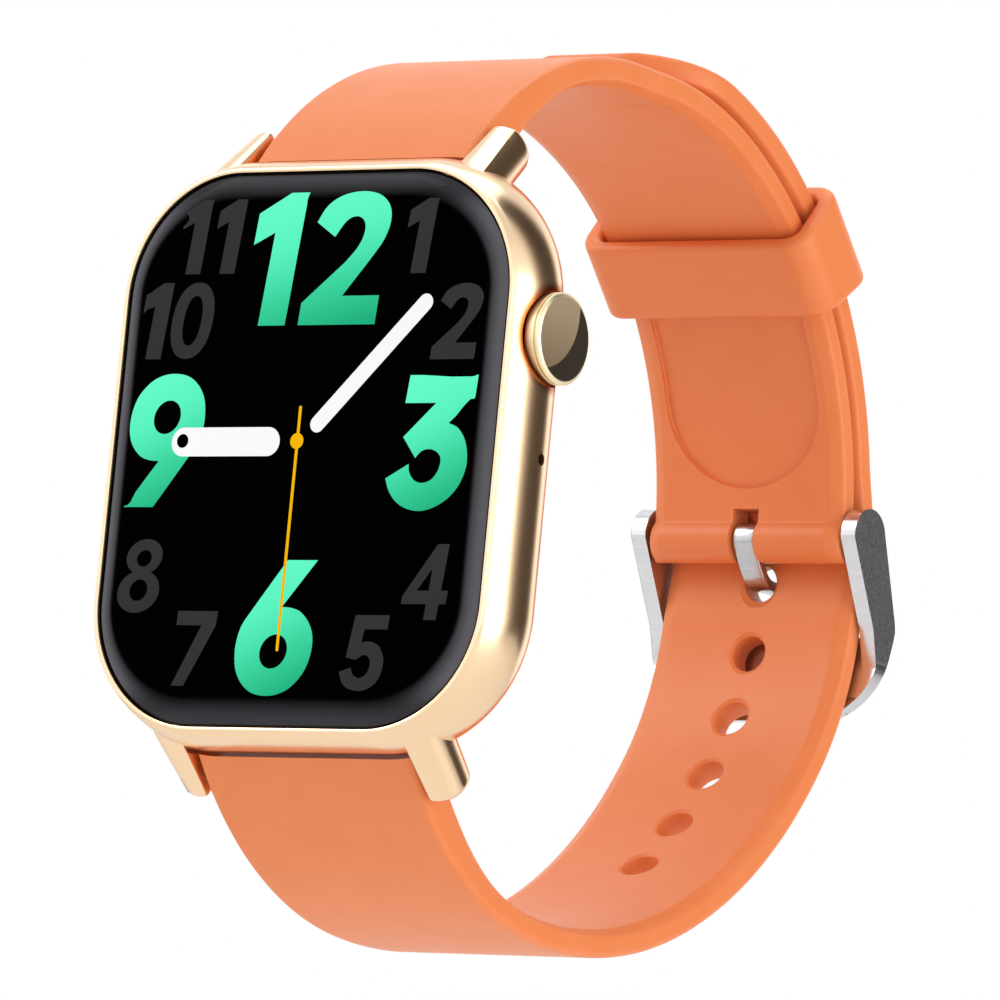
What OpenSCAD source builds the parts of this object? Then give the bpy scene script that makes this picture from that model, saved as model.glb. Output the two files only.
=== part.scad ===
// Running watch: metal case with a round push crown, silicone strap buckled into a loop.
// Case pieces are drawn lying on their back (x to the crown, y to 12 o'clock, z to the
// display) and stood up by stand(). Strap pieces are drawn in the side view by side(),
// whose x is the depth behind the case and whose y is the height.
// The origin is on the rear window, in the middle of the case.

/* [Case] */
// Width of the front glass
glass_w = 34.8; // [30:0.2:42]
// Height of the front glass
glass_h = 42; // [38:0.2:50.4]
// Corner radius of the front glass
glass_corner_r = 9.5; // [8.5:0.1:11]
// Thickness of the front glass
glass_t = 1.5; // [1.2:0.1:1.8]
// Height of the glass above the lip
glass_rise = 0.4; // [0.3:0.05:0.7]
// Width of the curved margin of the glass
glass_curve_w = 2.4; // [1.5:0.1:3]
// Width of the bright lip round the glass
lip_w = 0.45; // [0.3:0.05:0.8]
// How far the case side bulges beyond the lip
side_bulge = 1; // [0.6:0.05:1.4]
// Depth from the lip to the widest line of the case
front_depth = 3.8; // [3.4:0.1:4.6]
// Radius of the rounded back edge of the case
back_round = 4.4; // [4.2:0.1:4.8]
// Width of the ledge under the glass
ledge_w = 1.4; // [1.1:0.1:1.6]

/* [Rear cover] */
// Thickness of the cover plate outside the case
cover_t = 1.2; // [1:0.1:1.6]
// Depth of the cover's spigot inside the case
spigot_t = 1.2; // [1:0.1:1.5]
// Width of the flange that the cover is screwed to
flange_w = 4; // [3.6:0.1:4.4]
// Radius of a cover screw's thread
screw_r = 0.5; // [0.4:0.05:0.6]
// Radius of the optical window
window_r = 9.5; // [7:0.1:9.8]
// How far the window stands out of the cover
window_rise = 0.8; // [0.5:0.1:1.2]
// Distance between the two charging pads
pad_pitch = 4; // [3.5:0.1:5]
// Radius of a charging pad
pad_r = 1.1; // [0.8:0.1:1.3]

/* [Lugs and spring bars] */
// Gap between the two lugs of a pair
lug_gap = 20.4; // [18.6:0.1:24.5]
// Distance of a spring bar beyond the case end
bar_out = 1; // [0.9:0.05:1.8]
// Height of the spring bars above the rear window
bar_level = 3.4; // [3:0.05:3.8]
// Angle at which the lugs lean back
lug_lean = 48.4; // [42:0.2:54]
// Width of a lug at its tip
lug_tip_w = 2.4; // [2.2:0.1:3]
// Width of a lug at its root
lug_root_w = 2.9; // [2.4:0.1:3.6]
// Distance from a spring bar to the lug's front face
lug_front = 1.9; // [1.6:0.1:2.4]
// Distance from a spring bar to the lug's end
lug_end = 1.3; // [1.1:0.1:2]
// Radius of a spring bar's tube
bar_r = 0.75; // [0.6:0.05:0.9]
// Radius of a spring bar's tips
tip_r = 0.4; // [0.3:0.05:0.45]
// How far a tip reaches into its lug
tip_reach = 0.8; // [0.6:0.05:1]

/* [Crown] */
// Radius of the crown
crown_r = 3.45; // [3:0.05:3.6]
// Thickness of the crown cap
crown_t = 1.4; // [1.2:0.05:1.8]
// How far the cap stands out of the case's side
crown_out = 0.9; // [0.7:0.05:1.3]
// Distance of the crown above the middle of the case
crown_y = 8.9; // [8.5:0.1:9.5]
// Height of the crown's axis above the rear window
crown_level = 5.6; // [5.4:0.05:5.8]
// Travel of the crown when it is pressed
press_travel = 0.35; // [0.25:0.05:0.4]
// Radius of the crown's stem
stem_r = 0.75; // [0.6:0.05:0.9]

/* [Strap] */
// Clearance between the strap and each lug
strap_side_gap = 0.3; // [0.25:0.05:0.5]
// Width of the strap at the buckle
strap_w = 18; // [16:0.1:18.4]
// Length over which the strap narrows
narrow_len = 48; // [30:1:60]
// Thickness of the strap over most of its length
strap_t = 2.2; // [1.8:0.1:2.6]
// Length over which the strap thins
thin_len = 16; // [12:1:30]
// Radius of the strap's barrel round a spring bar
barrel_r = 1.75; // [1.6:0.05:1.9]
// Direction in which the strap leaves the spring bars
strap_lean = 49.7; // [47:0.1:52]
// Length of strap between a spring bar and the case
strap_lead = 3.2; // [2.6:0.1:3.6]
// Radius of the upper half's front bend
upper_front_r = 28.2; // [26:0.2:30]
// Flat stretch on top of the upper half
top_flat = 4.2; // [2:0.2:8]
// Radius of the upper half's back bend
back_r = 32; // [30:0.2:34]
// Radius of the lower half's front bend
lower_front_r = 27; // [25:0.2:29]
// Slope of the lower half where its front bend ends
lower_front_a = 6.6; // [4:0.2:9]
// Slope of the lower half where its back bend starts
lower_back_a = 57.8; // [54:0.2:60]
// Radius of the lower half's bend below the buckle
lower_back_r = 26.4; // [25:0.2:28]
// Gap between the upper half and the tail lying on it
layer_gap = 0.25; // [0.2:0.05:0.4]
// How far the tail swells over the buckle's barrel
tail_swell = 0.7; // [0.5:0.05:0.9]
// Flat stretch at the end of the tail
tail_flat = 0.5; // [0.3:0.1:4]
// Radius of the corners of the tail's tip
tip_corner_r = 8; // [4:0.5:8]
// Depth of the moulded recess inside the upper half
recess_depth = 0.4; // [0.2:0.05:0.6]
// Half width of the recess
recess_r = 7.2; // [5:0.1:7.3]
// Angle at which the recess ends, about the back bend's centre
recess_a = 9; // [8:0.5:14]

/* [Strap holes] */
// Radius of a strap hole
hole_r = 1.45; // [1.3:0.05:1.6]
// Radius of the countersink on the wrist side
hole_rim_r = 1.8; // [1.7:0.05:2.1]
// Distance from hole to hole
hole_pitch = 6.2; // [5.5:0.1:7]
// Number of holes below the one in use
holes_below = 5; // [3:1:6]
// Number of holes in the tail, above the one in use
holes_above = 3; // [1:1:5]
// Height of the buckle pin above the hole in use
hole_drop = 3.2; // [3.1:0.05:3.4]

/* [Keeper] */
// Width of the keeper along the strap
keeper_w = 7.4; // [5:0.1:9]
// Wall of the keeper
keeper_wall = 1; // [0.8:0.05:1.3]
// Angle of the keeper, about the back bend's centre
keeper_a = 44; // [40:1:50]
// Clearance between the keeper and the strap's faces
keeper_gap = 0.2; // [0.15:0.05:0.3]
// Clearance between the keeper and the strap's edges
keeper_side_gap = 0.3; // [0.25:0.05:0.5]

/* [Buckle] */
// Height of the buckle pin above the back bend's centre
pin_rise = 0.7; // [0.5:0.1:1]
// Radius of the strap's barrel round the buckle pin
buckle_barrel_r = 1.83; // [1.6:0.05:1.9]
// Radius of the buckle pin
pin_r = 0.6; // [0.5:0.05:0.65]
// Thickness of the buckle's sheet
sheet_t = 1.35; // [1.1:0.05:1.5]
// Clearance between the strap and the buckle's arms
arm_gap = 0.3; // [0.25:0.05:0.4]
// Radius of an arm's end round the pin
arm_end_r = 2.25; // [2:0.05:2.4]
// Distance of the end plate's top edge below the pin
plate_top = 7.2; // [6.9:0.1:7.7]
// Height of the end plate
plate_h = 7.5; // [6.5:0.1:8]
// Clearance between the end plate and the strap
plate_gap = 0.35; // [0.3:0.05:0.45]
// Radius of the end plate's lower corners
plate_corner_r = 4; // [2:0.1:5]
// Width of the tongue
tongue_w = 1.8; // [1.5:0.1:2]
// Thickness of the tongue
tongue_t = 0.8; // [0.7:0.05:0.85]

/* [Hidden] */
$fn = 64;
fine = 180;
far = 100;

// clearances: pieces that are fitted, that turn or slide, and that only pass each other
fit = 0.05;
run = 0.04;
gap = 0.15;

gold = "#d9b98c";
steel = "#c9cacc";
orange = "#ea8450";
black = "#18181a";
green = "#1f5a3a";

// levels in the case, above the rear window's outer face
cover_z = window_rise;
back_z = cover_z + cover_t;
wide_z = back_z + back_round;
lip_z = wide_z + front_depth;
glass_top_z = lip_z + glass_rise;
glass_bottom_z = glass_top_z - glass_t;
gasket_t = 0.2;
ledge_z = glass_bottom_z - gasket_t;
floor_z = back_z + spigot_t;
display_t = 1.7;
display_z = glass_bottom_z - fit - display_t;
tray_t = 0.8;
tray_z = display_z - gap - tray_t;
board_t = 0.6;
board_z = tray_z - gap - board_t;
inner_z = floor_z + gap;

// plan sizes of the case
side_out = lip_w + side_bulge;
front_r = (pow(side_bulge, 2) + pow(front_depth, 2)) / (2 * side_bulge);
half_w = glass_w / 2 + side_out;
half_h = glass_h / 2 + side_out;
mouth_in = ledge_w + flange_w;
cavity_x = glass_w / 2 - ledge_w;
cavity_y = glass_h / 2 - ledge_w;
corner_x = glass_w / 2 - glass_corner_r;
corner_y = glass_h / 2 - glass_corner_r;

// rear cover and what it carries
cover_edge_r = glass_corner_r + side_out - back_round - fit;
gasket_w = 0.6;
gasket_h = 0.7;
screw_head_r = screw_r + 0.45;
screw_out = (glass_corner_r - mouth_in + cover_edge_r) / 2 * sin(45);
screw_x = corner_x + screw_out;
screw_y = corner_y + screw_out;
window_seat = 0.5;
window_hole_r = window_r - 1.4;
spigot_wall = 1;
hollow_z = back_z + 0.4;
pads_y = -(window_r + glass_h / 2 - mouth_in) / 2;
magnet_r = 1.5;
magnet_t = 1.2;
magnet_x = pad_pitch / 2 + pad_r + magnet_r + 1;

// openings in the case's sides
mic_y = -0.2;
mic_r = 0.45;
speaker_y = -3.6;
speaker_pitch = 1.6;
speaker_hole_r = 0.45;
sound_level = crown_level + 0.3;

// inner pieces
board_low_y = 0.6;
board_half_w = cavity_x - 2.4;
speaker_w = 5.8;
crown_bay = 2.4;
motor_r = 4;
motor_x = 8 - cavity_x;
motor_y = 6.4;
motor_wall = 0.25;
motor_axle_r = 0.3;
motor_top = tray_z - gap;
flex_t = 0.15;
light_t = 0.45;

// spring bars, in the side view
bar_y = -bar_level;
bar_z = half_h + bar_out;
tube_half = lug_gap / 2 - 0.5;
tip_in = tube_half - 2;
bar_travel = tip_reach + gap;

// crown, from the outside to the inside
crown_face = half_w + crown_out;
crown_back = crown_face - crown_t;
crown_floor = crown_back - press_travel - gap;
socket_depth = 0.7;
bush_r = stem_r + 0.7;
bush_in = cavity_x - 0.3;
clip_t = 0.3;
clip_x = bush_in - fit - clip_t;
stem_in = clip_x - 0.6;
stem_neck = 0.2;
seal_x = (crown_floor + bush_in) / 2;
seal_r = 0.1;
plunger_r = 0.45;
plunger_end = stem_in - 0.02;
switch_t = 1.6;
switch_x = plunger_end - press_travel - 0.1 - switch_t;
switch_floor = 0.3;

// strap routes: each starts at the case, ahead of the spring bar's barrel
upper_lead_a = strap_lead / upper_front_r * 180 / PI;
lower_lead_a = strap_lead / lower_front_r * 180 / PI;
function front_centre(r) = [bar_y + (r - barrel_r) * sin(strap_lean),
    bar_z - (r - barrel_r) * cos(strap_lean)];
function front_start(r, lead) = let (c = front_centre(r), h = strap_lean + lead)
    [c[0] - r * sin(h), c[1] + r * cos(h), h, 0];
centre_y = front_centre(upper_front_r)[0] + top_flat;
centre_z = front_centre(upper_front_r)[1] + upper_front_r - back_r;
tail_r = back_r + layer_gap + strap_t;
lower_back_y = centre_y + tail_r - lower_back_r;
lower_mid_r = (lower_back_y - front_centre(lower_front_r)[0] + lower_front_r * sin(lower_front_a)
    + lower_back_r * sin(lower_back_a)) / (sin(lower_front_a) + sin(lower_back_a));
lower_back_z = -(front_centre(lower_front_r)[1] + lower_front_r * cos(lower_front_a)
    - lower_mid_r * (cos(lower_front_a) - cos(lower_back_a)) - lower_back_r * cos(lower_back_a));
lower_rise = centre_z - lower_back_z;
upper_start = front_start(upper_front_r, upper_lead_a);
lower_start = front_start(lower_front_r, lower_lead_a);
upper_route = [[upper_front_r, upper_start[2]], [0, top_flat], [back_r, 90]];
lower_route = [[lower_front_r, lower_start[2] - lower_front_a],
    [lower_mid_r, lower_front_a + lower_back_a], [lower_back_r, 90 - lower_back_a],
    [0, lower_rise], [tail_r, 90], [0, tail_flat]];
station = 2.2;
tail_tip_y = centre_y - tail_flat;

// section of the strap
edge_round = 0.5;
rim_w = 1.2;
rim_drop = 0.35;

// buckle and holes, in the side view
pin_y = centre_y + back_r + layer_gap + tail_swell - gap - buckle_barrel_r;
pin_z = centre_z + pin_rise;
pin_s = route_length(lower_route, 4) + pin_rise;
swell_len = 7;
hole_z = pin_z - hole_drop;
used_hole_s = pin_s - hole_drop;
slot_w = tongue_w + 0.6;
slot_up = 2.35;
arm_in = strap_w / 2 + arm_gap;
arm_out = arm_in + sheet_t;
arm_y = pin_y + 0.7;
arm_z = pin_z + 0.4;
plate_in_r = lower_back_r + plate_gap;
plate_out_r = plate_in_r + sheet_t;
plate_top_z = pin_z - plate_top;
plate_low_z = plate_top_z - plate_h;
function plate_y(r, z) = lower_back_y + sqrt(pow(r, 2) - pow(min(0, z - lower_back_z), 2));
bend_r = 1.2;
loop_r = pin_r + run + tongue_t;
tongue_tip_z = plate_top_z - 3;
tongue_lean = 5;

// keeper, about the back bend's centre
keeper_in_r = back_r - strap_t - keeper_gap;
keeper_out_r = tail_r + keeper_gap;
keeper_half_w = strap_w / 2 + keeper_side_gap;
keeper_span = keeper_w / back_r * 180 / PI;

// ---- routes and the sweep ----

function seg_len(seg) = seg[0] == 0 ? seg[1] : seg[0] * seg[1] * PI / 180;

// Point [y, z, heading, length] at a length l along a stretch that starts at p; a radius of
// 0 means a straight stretch
function seg_point(p, seg, l) = seg[0] == 0
    ? [p[0] + l * cos(p[2]), p[1] + l * sin(p[2]), p[2], p[3] + l]
    : let (r = seg[0], h = p[2] - l / r * 180 / PI)
      [p[0] + r * (sin(p[2]) - sin(h)), p[1] - r * (cos(p[2]) - cos(h)), h, p[3] + l];

// Points all along a route
function route(p, segs, i = 0) = i == len(segs) ? [p]
    : let (l = seg_len(segs[i]), n = max(1, ceil(l / station)))
      concat([for (k = [0 : n - 1]) seg_point(p, segs[i], l * k / n)],
        route(seg_point(p, segs[i], l), segs, i + 1));

// Length of the first n stretches of a route
function route_length(segs, n, i = 0) = i == n ? 0 : seg_len(segs[i]) + route_length(segs, n, i + 1);

// Point of a route at a length s
function route_at(p, segs, s, i = 0) = let (l = seg_len(segs[i]))
    s <= l || i == len(segs) - 1 ? seg_point(p, segs[i], s)
        : route_at(seg_point(p, segs[i], l), segs, s - l, i + 1);

function ease(x) = let (t = min(1, max(0, x))) t * t * (3 - 2 * t);
function half_width(s) = lug_gap / 2 - strap_side_gap
    + (strap_w / 2 - lug_gap / 2 + strap_side_gap) * min(1, s / narrow_len);
function thickness(s) = 2 * barrel_r + (strap_t - 2 * barrel_r) * ease((s - strap_lead) / thin_len);

// Outward swell of the tail over the buckle's barrel
function swell(s) = abs(s - pin_s) > swell_len ? 0
    : tail_swell * (1 + cos(180 * (s - pin_s) / swell_len)) / 2;

// Section of the strap: [place across, depth below the outer face]
function half_section(w, t) = [[w - edge_round, 0], [w - 0.3 * edge_round, 0.3 * edge_round],
    [w, edge_round], [w, t - rim_drop], [w - rim_w, t]];
function full_section(w, t) = let (h = half_section(w, t), n = len(h) - 1)
    concat(h, [for (k = [n : -1 : 0]) [-h[k][0], h[k][1]]]);

// Solid strap along a route's points, with a full section square to the route at each
module strap_sweep(points, swells = false) {
    rings = [for (p = points) let (b = swells ? swell(p[3]) : 0)
        [for (q = full_section(half_width(p[3]), thickness(p[3])))
            [q[0], p[0] - (b - q[1]) * sin(p[2]), p[1] + (b - q[1]) * cos(p[2])]]];
    m = len(rings[0]);
    n = len(rings);
    sides = [for (i = [0 : n - 2], k = [0 : m - 1]) let (a = i * m + k, b = i * m + (k + 1) % m)
        each [[a, b + m, b], [a, a + m, b + m]]];
    caps = [for (k = [1 : m - 2])
        each [[0, k, k + 1], [(n - 1) * m, (n - 1) * m + k + 1, (n - 1) * m + k]]];
    polyhedron(points = [for (r = rings) each r], faces = concat(sides, caps), convexity = 10);
}

// ---- frames and helpers ----

module stand() rotate([90, 0, 0]) children();
module side() rotate([90, 0, 90]) children();
module flip_z() mirror([0, 0, 1]) children();
module four_corners() for (x = [0, 1], y = [0, 1]) mirror([x, 0, 0]) mirror([0, y, 0]) children();

// Rod along x between two places, in any frame whose x runs across the watch
module rod(x0, x1, y, z, r) translate([x0, y, z]) rotate([0, 90, 0]) cylinder(r = r, h = x1 - x0);

// Block between two corners
module block(a, b) translate(a) cube(b - a);

module round_outline(w, h, r) {
    square([w - 2 * r, h], center = true);
    square([w, h - 2 * r], center = true);
    for (x = [-1, 1], y = [-1, 1]) translate([x * (w / 2 - r), y * (h / 2 - r)]) circle(r);
}

// Plate with the glass's outline, inset by a margin, between two levels
module level_plate(inset, z0, z1) translate([0, 0, z0]) linear_extrude(z1 - z0)
    round_outline(glass_w - 2 * inset, glass_h - 2 * inset, glass_corner_r - inset);

// Block with the glass's outline whose edge has a profile, drawn from the corner's axis out
module edged_block(z0, z1) {
    for (q = [0 : 3]) rotate([0, 0, 90 * q]) {
        a = q % 2 == 0 ? corner_x : corner_y;
        b = q % 2 == 0 ? corner_y : corner_x;
        translate([a, b, 0]) rotate_extrude(angle = 90) children();
        translate([a, b, 0]) rotate([90, 0, 0]) linear_extrude(2 * b) children();
    }
    block([-corner_x, -corner_y, z0], [corner_x, corner_y, z1]);
}

// ---- case ----

module case_profile(grow = 0) {
    out = glass_corner_r + side_out;
    intersection() {
        translate([out - front_r, wide_z]) circle(front_r + grow, $fn = fine);
        translate([0, wide_z]) square([far, front_depth]);
    }
    intersection() {
        translate([out - back_round, wide_z]) circle(back_round + grow, $fn = fine);
        translate([0, back_z - grow]) square([far, back_round + grow]);
    }
    translate([0, back_z - grow]) square([out - back_round, back_round + grow]);
}

// Lug at the upper right corner: a tapered round bar with a flat front and inner face
module lug() {
    root = 6;
    chamfer = 0.4;
    translate([lug_gap / 2, bar_z, bar_level]) rotate([-90 - lug_lean, 0, 0]) intersection() {
        rotate_extrude() polygon([[0, -root], [lug_root_w, -root],
            [lug_tip_w, lug_end - chamfer], [lug_tip_w - chamfer, lug_end], [0, lug_end]]);
        block([0, -lug_front, -far / 2], [far, far, far / 2]);
    }
}

module case_frame() color(gold) stand() difference() {
    union() {
        edged_block(back_z, lip_z) case_profile();
        four_corners() lug();
    }
    // seat of the glass, cavity, rear mouth and threads of the cover's screws
    level_plate(-fit, ledge_z, far);
    level_plate(ledge_w, floor_z, far);
    level_plate(mouth_in, -far, far);
    four_corners() translate([screw_x, screw_y, 0]) cylinder(r = screw_r, h = far);
    // pockets behind the lugs for the strap's barrels, and bores for the spring bars' tips
    for (s = [-1, 1]) {
        rod(-lug_gap / 2, lug_gap / 2, s * bar_z, bar_level, barrel_r + 2 * gap);
        rod(-lug_gap / 2 - tip_reach - gap, lug_gap / 2 + tip_reach + gap, s * bar_z, bar_level,
            tip_r + run);
    }
    // crown's bush hole and recess
    rod(0, half_w + 1, crown_y, crown_level, bush_r);
    rod(crown_floor, half_w + 5, crown_y, crown_level, crown_r + gap);
    // microphone hole on the crown's side, loudspeaker holes on the other
    rod(0, half_w + 1, mic_y, sound_level, mic_r);
    speaker_holes(-half_w - 1, 0);
}

module speaker_holes(x0, x1) for (k = [-2 : 2])
    rod(x0, x1, speaker_y + k * speaker_pitch, sound_level, speaker_hole_r);

module front_glass() color(black) stand() {
    edge_drop = 0.75;
    curve_r = (pow(glass_curve_w, 2) + pow(edge_drop, 2)) / (2 * edge_drop);
    flat_r = glass_corner_r - glass_curve_w;
    edged_block(glass_bottom_z, glass_top_z) union() {
        translate([0, glass_bottom_z]) square([glass_corner_r, glass_t - edge_drop]);
        translate([0, glass_bottom_z]) square([flat_r, glass_t]);
        intersection() {
            translate([flat_r, glass_top_z - curve_r]) circle(curve_r, $fn = fine);
            translate([0, glass_bottom_z]) square([glass_corner_r, glass_t]);
        }
    }
}

module glass_gasket() color(black) stand() difference() {
    level_plate(gap, ledge_z, glass_bottom_z);
    level_plate(ledge_w - gap, 0, far);
}

module display_module() color(black) stand() {
    panel_z = display_z + 0.6;
    level_plate(ledge_w + 0.5, panel_z, display_z + display_t);
    level_plate(ledge_w + 1.2, display_z, panel_z);
}

// Room round the switch and the crown's inner end
module crown_room() block([switch_x - 1, crown_y - crown_bay, 0], [far, crown_y + crown_bay, far]);

module inner_tray() color("#3a3c40") stand() difference() {
    level_plate(ledge_w + gap, tray_z, tray_z + tray_t);
    // window for the display's cable
    block([-7, -cavity_y + 4, 0], [7, -cavity_y + 6, far]);
    crown_room();
}

module main_board() color(green) stand() difference() {
    intersection() {
        level_plate(ledge_w + 1, board_z, board_z + board_t);
        block([-board_half_w, board_low_y, 0], [board_half_w, far, far]);
    }
    crown_room();
    translate([motor_x, motor_y, 0]) cylinder(r = motor_r + gap, h = far);
}

module board_shields() color(steel) stand()
    for (b = [[-2.6, 2.2, 8.6, 11.2], [3.4, 12.8, 9.2, 17.2], [-9.4, 12.8, -3.4, 17.2]])
        block([b[0], b[1], board_z - 1], [b[2], b[3], board_z]);

module gps_antenna() color("#d8c9a8") stand() block([-2.8, 12.8, board_z - 1.6], [2.8, 17.4, board_z]);

module battery() color("#8f949c") stand() {
    low = [speaker_w + 0.6 - cavity_x, -cavity_y + 2.2];
    high = [cavity_x - 2.6, board_low_y - 0.6];
    size = high - low;
    translate([(low[0] + high[0]) / 2, (low[1] + high[1]) / 2, inner_z])
        linear_extrude(tray_z - gap - inner_z) round_outline(size[0], size[1], 3);
}

// Coin motor beside the board, whose lopsided rotor shakes the case
module motor_can() color(steel) stand() translate([motor_x, motor_y, 0]) {
    difference() {
        translate([0, 0, inner_z]) cylinder(r = motor_r, h = motor_top - inner_z);
        translate([0, 0, inner_z + motor_wall])
            cylinder(r = motor_r - motor_wall, h = motor_top - inner_z - 2 * motor_wall);
    }
    translate([0, 0, inner_z + motor_wall / 2])
        cylinder(r = motor_axle_r, h = motor_top - inner_z - motor_wall);
}

module motor_rotor() color("#7d7468") stand() {
    rotor_z = inner_z + motor_wall + gap;
    rotor_t = motor_top - motor_wall - gap - rotor_z;
    translate([motor_x, motor_y, rotor_z]) difference() {
        union() {
            cylinder(r = 0.9, h = rotor_t);
            intersection() {
                cylinder(r = motor_r - motor_wall - gap, h = rotor_t);
                block([-far, 0, 0], [far, far, rotor_t]);
            }
        }
        translate([0, 0, -1]) cylinder(r = motor_axle_r + run, h = far);
    }
}

module loudspeaker() color("#2c2d30") stand() difference() {
    block([-cavity_x + gap, -8.2, inner_z], [speaker_w - cavity_x, 0.2, tray_z - gap]);
    speaker_holes(-half_w, -cavity_x + 1);
}

module microphone() color(steel) stand() difference() {
    block([cavity_x - 1.9, mic_y - 1.1, sound_level - 0.75], [cavity_x - gap, mic_y + 1.1, tray_z - gap]);
    rod(cavity_x - 0.6, far, mic_y, sound_level, mic_r / 2);
}

// Flexible board behind the crown's switch, folded on to the main board
module side_flex() color("#c07a30") stand() {
    flex_top = tray_z - gap / 3;
    half = 1.9;
    block([switch_x - flex_t, crown_y - half, crown_level - 1.2], [switch_x, crown_y + half, flex_top]);
    block([switch_x - 3.4, crown_y - half, board_z + board_t], [switch_x, crown_y + half, flex_top]);
}

// ---- rear cover ----

module rear_cover() color(gold) stand() difference() {
    chamfer = 0.2;
    union() {
        edged_block(cover_z, back_z) polygon([[0, cover_z], [cover_edge_r - chamfer, cover_z],
            [cover_edge_r, cover_z + chamfer], [cover_edge_r, back_z], [0, back_z]]);
        level_plate(mouth_in + gap, back_z, floor_z);
    }
    // hollow of the spigot, groove of the gasket
    level_plate(mouth_in + gap + spigot_wall, hollow_z, far);
    difference() {
        level_plate(mouth_in - 1, back_z, back_z + gasket_h);
        level_plate(mouth_in + gasket_w, -far, far);
    }
    // stepped seat of the window
    translate([0, 0, -1]) cylinder(r = window_r + fit, h = 1 + cover_z + window_seat);
    translate([0, 0, -1]) cylinder(r = window_hole_r, h = far);
    // holes for the screws and their heads, the pads and the magnets
    four_corners() translate([screw_x, screw_y, 0]) {
        cylinder(r = screw_r + fit, h = far);
        cylinder(r = screw_head_r + fit, h = cover_z + 0.5);
    }
    for (s = [-1, 1]) {
        translate([s * pad_pitch / 2, pads_y, 0]) cylinder(r = pad_r + fit, h = far);
        translate([s * magnet_x, pads_y, back_z - 0.5]) cylinder(r = magnet_r + fit, h = far);
    }
}

module rear_gasket() color(black) stand() difference() {
    level_plate(mouth_in + fit / 2, back_z + fit / 2, back_z + gasket_h - fit / 2);
    level_plate(mouth_in + gasket_w - fit / 2, 0, far);
}

module rear_screws() color(steel) stand() four_corners() translate([screw_x, screw_y, 0]) {
    head_t = 0.45;
    head_z = cover_z + 0.5 - head_t;
    difference() {
        translate([0, 0, head_z]) cylinder(r = screw_head_r, h = head_t);
        translate([0, 0, head_z - 1]) cylinder(r = screw_r * 0.8, h = 1.25, $fn = 6);
    }
    translate([0, 0, head_z + head_t]) cylinder(r = screw_r, h = floor_z - head_z - head_t);
}

module sensor_window() color(black) stand() rotate_extrude() {
    bevel_w = 0.9;
    bevel_h = 0.5;
    polygon([[0, 0], [window_r - bevel_w, 0], [window_r, bevel_h],
        [window_r, cover_z + window_seat], [window_hole_r - fit, cover_z + window_seat],
        [window_hole_r - fit, back_z], [0, back_z]]);
}

module sensor_board() color(green) stand() translate([0, 0, back_z + fit + light_t])
    cylinder(r = window_hole_r - 1.2, h = 0.5);

// Ring of lamps round the middle light sensor
module sensor_lights() color("#e8f5e0") stand() translate([0, 0, back_z + fit]) {
    for (a = [0 : 60 : 300]) rotate([0, 0, a]) block([3.6, -0.6, 0], [4.8, 0.6, light_t]);
    block([-1.4, -1.4, 0], [1.4, 1.4, light_t]);
}

module charge_pads() color("#d8b070") stand() for (s = [-1, 1]) translate([s * pad_pitch / 2, pads_y, 0]) {
    translate([0, 0, cover_z + 0.1]) cylinder(r = pad_r, h = hollow_z - cover_z - 0.1);
    translate([0, 0, hollow_z]) cylinder(r = pad_r + 0.3, h = 0.4);
}

module charge_magnets() color(steel) stand() for (s = [-1, 1])
    translate([s * magnet_x, pads_y, back_z - 0.5]) cylinder(r = magnet_r, h = magnet_t);

// ---- crown ----

// Solid turned about the crown's axis from a profile of [radius, place along the axis]
module crown_turned() stand() translate([0, crown_y, crown_level]) rotate([0, 90, 0])
    rotate_extrude() children();

module crown_cap() color(gold) crown_turned() difference() {
    edge = 0.25;
    groove_w = 0.12;
    polygon([[0, crown_back], [crown_r - 0.1, crown_back], [crown_r, crown_back + 0.1],
        [crown_r, crown_face - edge], [crown_r - edge, crown_face], [0, crown_face]]);
    // socket for the stem, and the fine groove round the face
    translate([0, crown_back - 1]) square([stem_r + fit, 1 + socket_depth]);
    translate([crown_r - groove_w, crown_face - edge - 2 * groove_w]) square([1, groove_w]);
}

module crown_stem() color(steel) crown_turned() difference() {
    translate([0, stem_in]) square([stem_r, crown_back + socket_depth - 0.1 - stem_in]);
    // grooves for the seal and the clip
    translate([stem_r - stem_neck, seal_x - seal_r - fit]) square([1, 2 * (seal_r + fit)]);
    translate([stem_r - stem_neck, clip_x - fit / 2]) square([1, clip_t + fit]);
}

module crown_bush() color(steel) crown_turned()
    translate([stem_r + run, bush_in]) square([bush_r - stem_r - run, crown_floor - bush_in]);

module crown_seal() color(black) crown_turned()
    translate([stem_r - stem_neck + seal_r + 0.01, seal_x]) circle(seal_r);

module crown_clip() color(steel) crown_turned()
    translate([stem_r - stem_neck + 0.02, clip_x]) square([0.7, clip_t]);

module crown_switch() color("#26272a") stand() difference() {
    block([switch_x, crown_y - 1.7, crown_level - 1.2], [switch_x + switch_t, crown_y + 1.7, tray_z - gap]);
    rod(switch_x + switch_floor, far, crown_y, crown_level, plunger_r + run);
}

module switch_plunger() color("#e6e6e0") stand()
    rod(switch_x + switch_floor + press_travel + gap, plunger_end, crown_y, crown_level, plunger_r);

// ---- spring bars ----

module bar_tube() difference() {
    rod(-tube_half, tube_half, bar_y, bar_z, bar_r);
    for (s = [0, 1]) mirror([s, 0, 0]) rod(tip_in - bar_travel - gap, far, bar_y, bar_z, tip_r + run);
}
module bar_tip() rod(tip_in, lug_gap / 2 + tip_reach, bar_y, bar_z, tip_r);

module upper_bar_tube() color(steel) bar_tube();
module upper_bar_tip_left() color(steel) mirror([1, 0, 0]) bar_tip();
module upper_bar_tip_right() color(steel) bar_tip();
module lower_bar_tube() color(steel) flip_z() bar_tube();
module lower_bar_tip_left() color(steel) flip_z() mirror([1, 0, 0]) bar_tip();
module lower_bar_tip_right() color(steel) flip_z() bar_tip();

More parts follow.
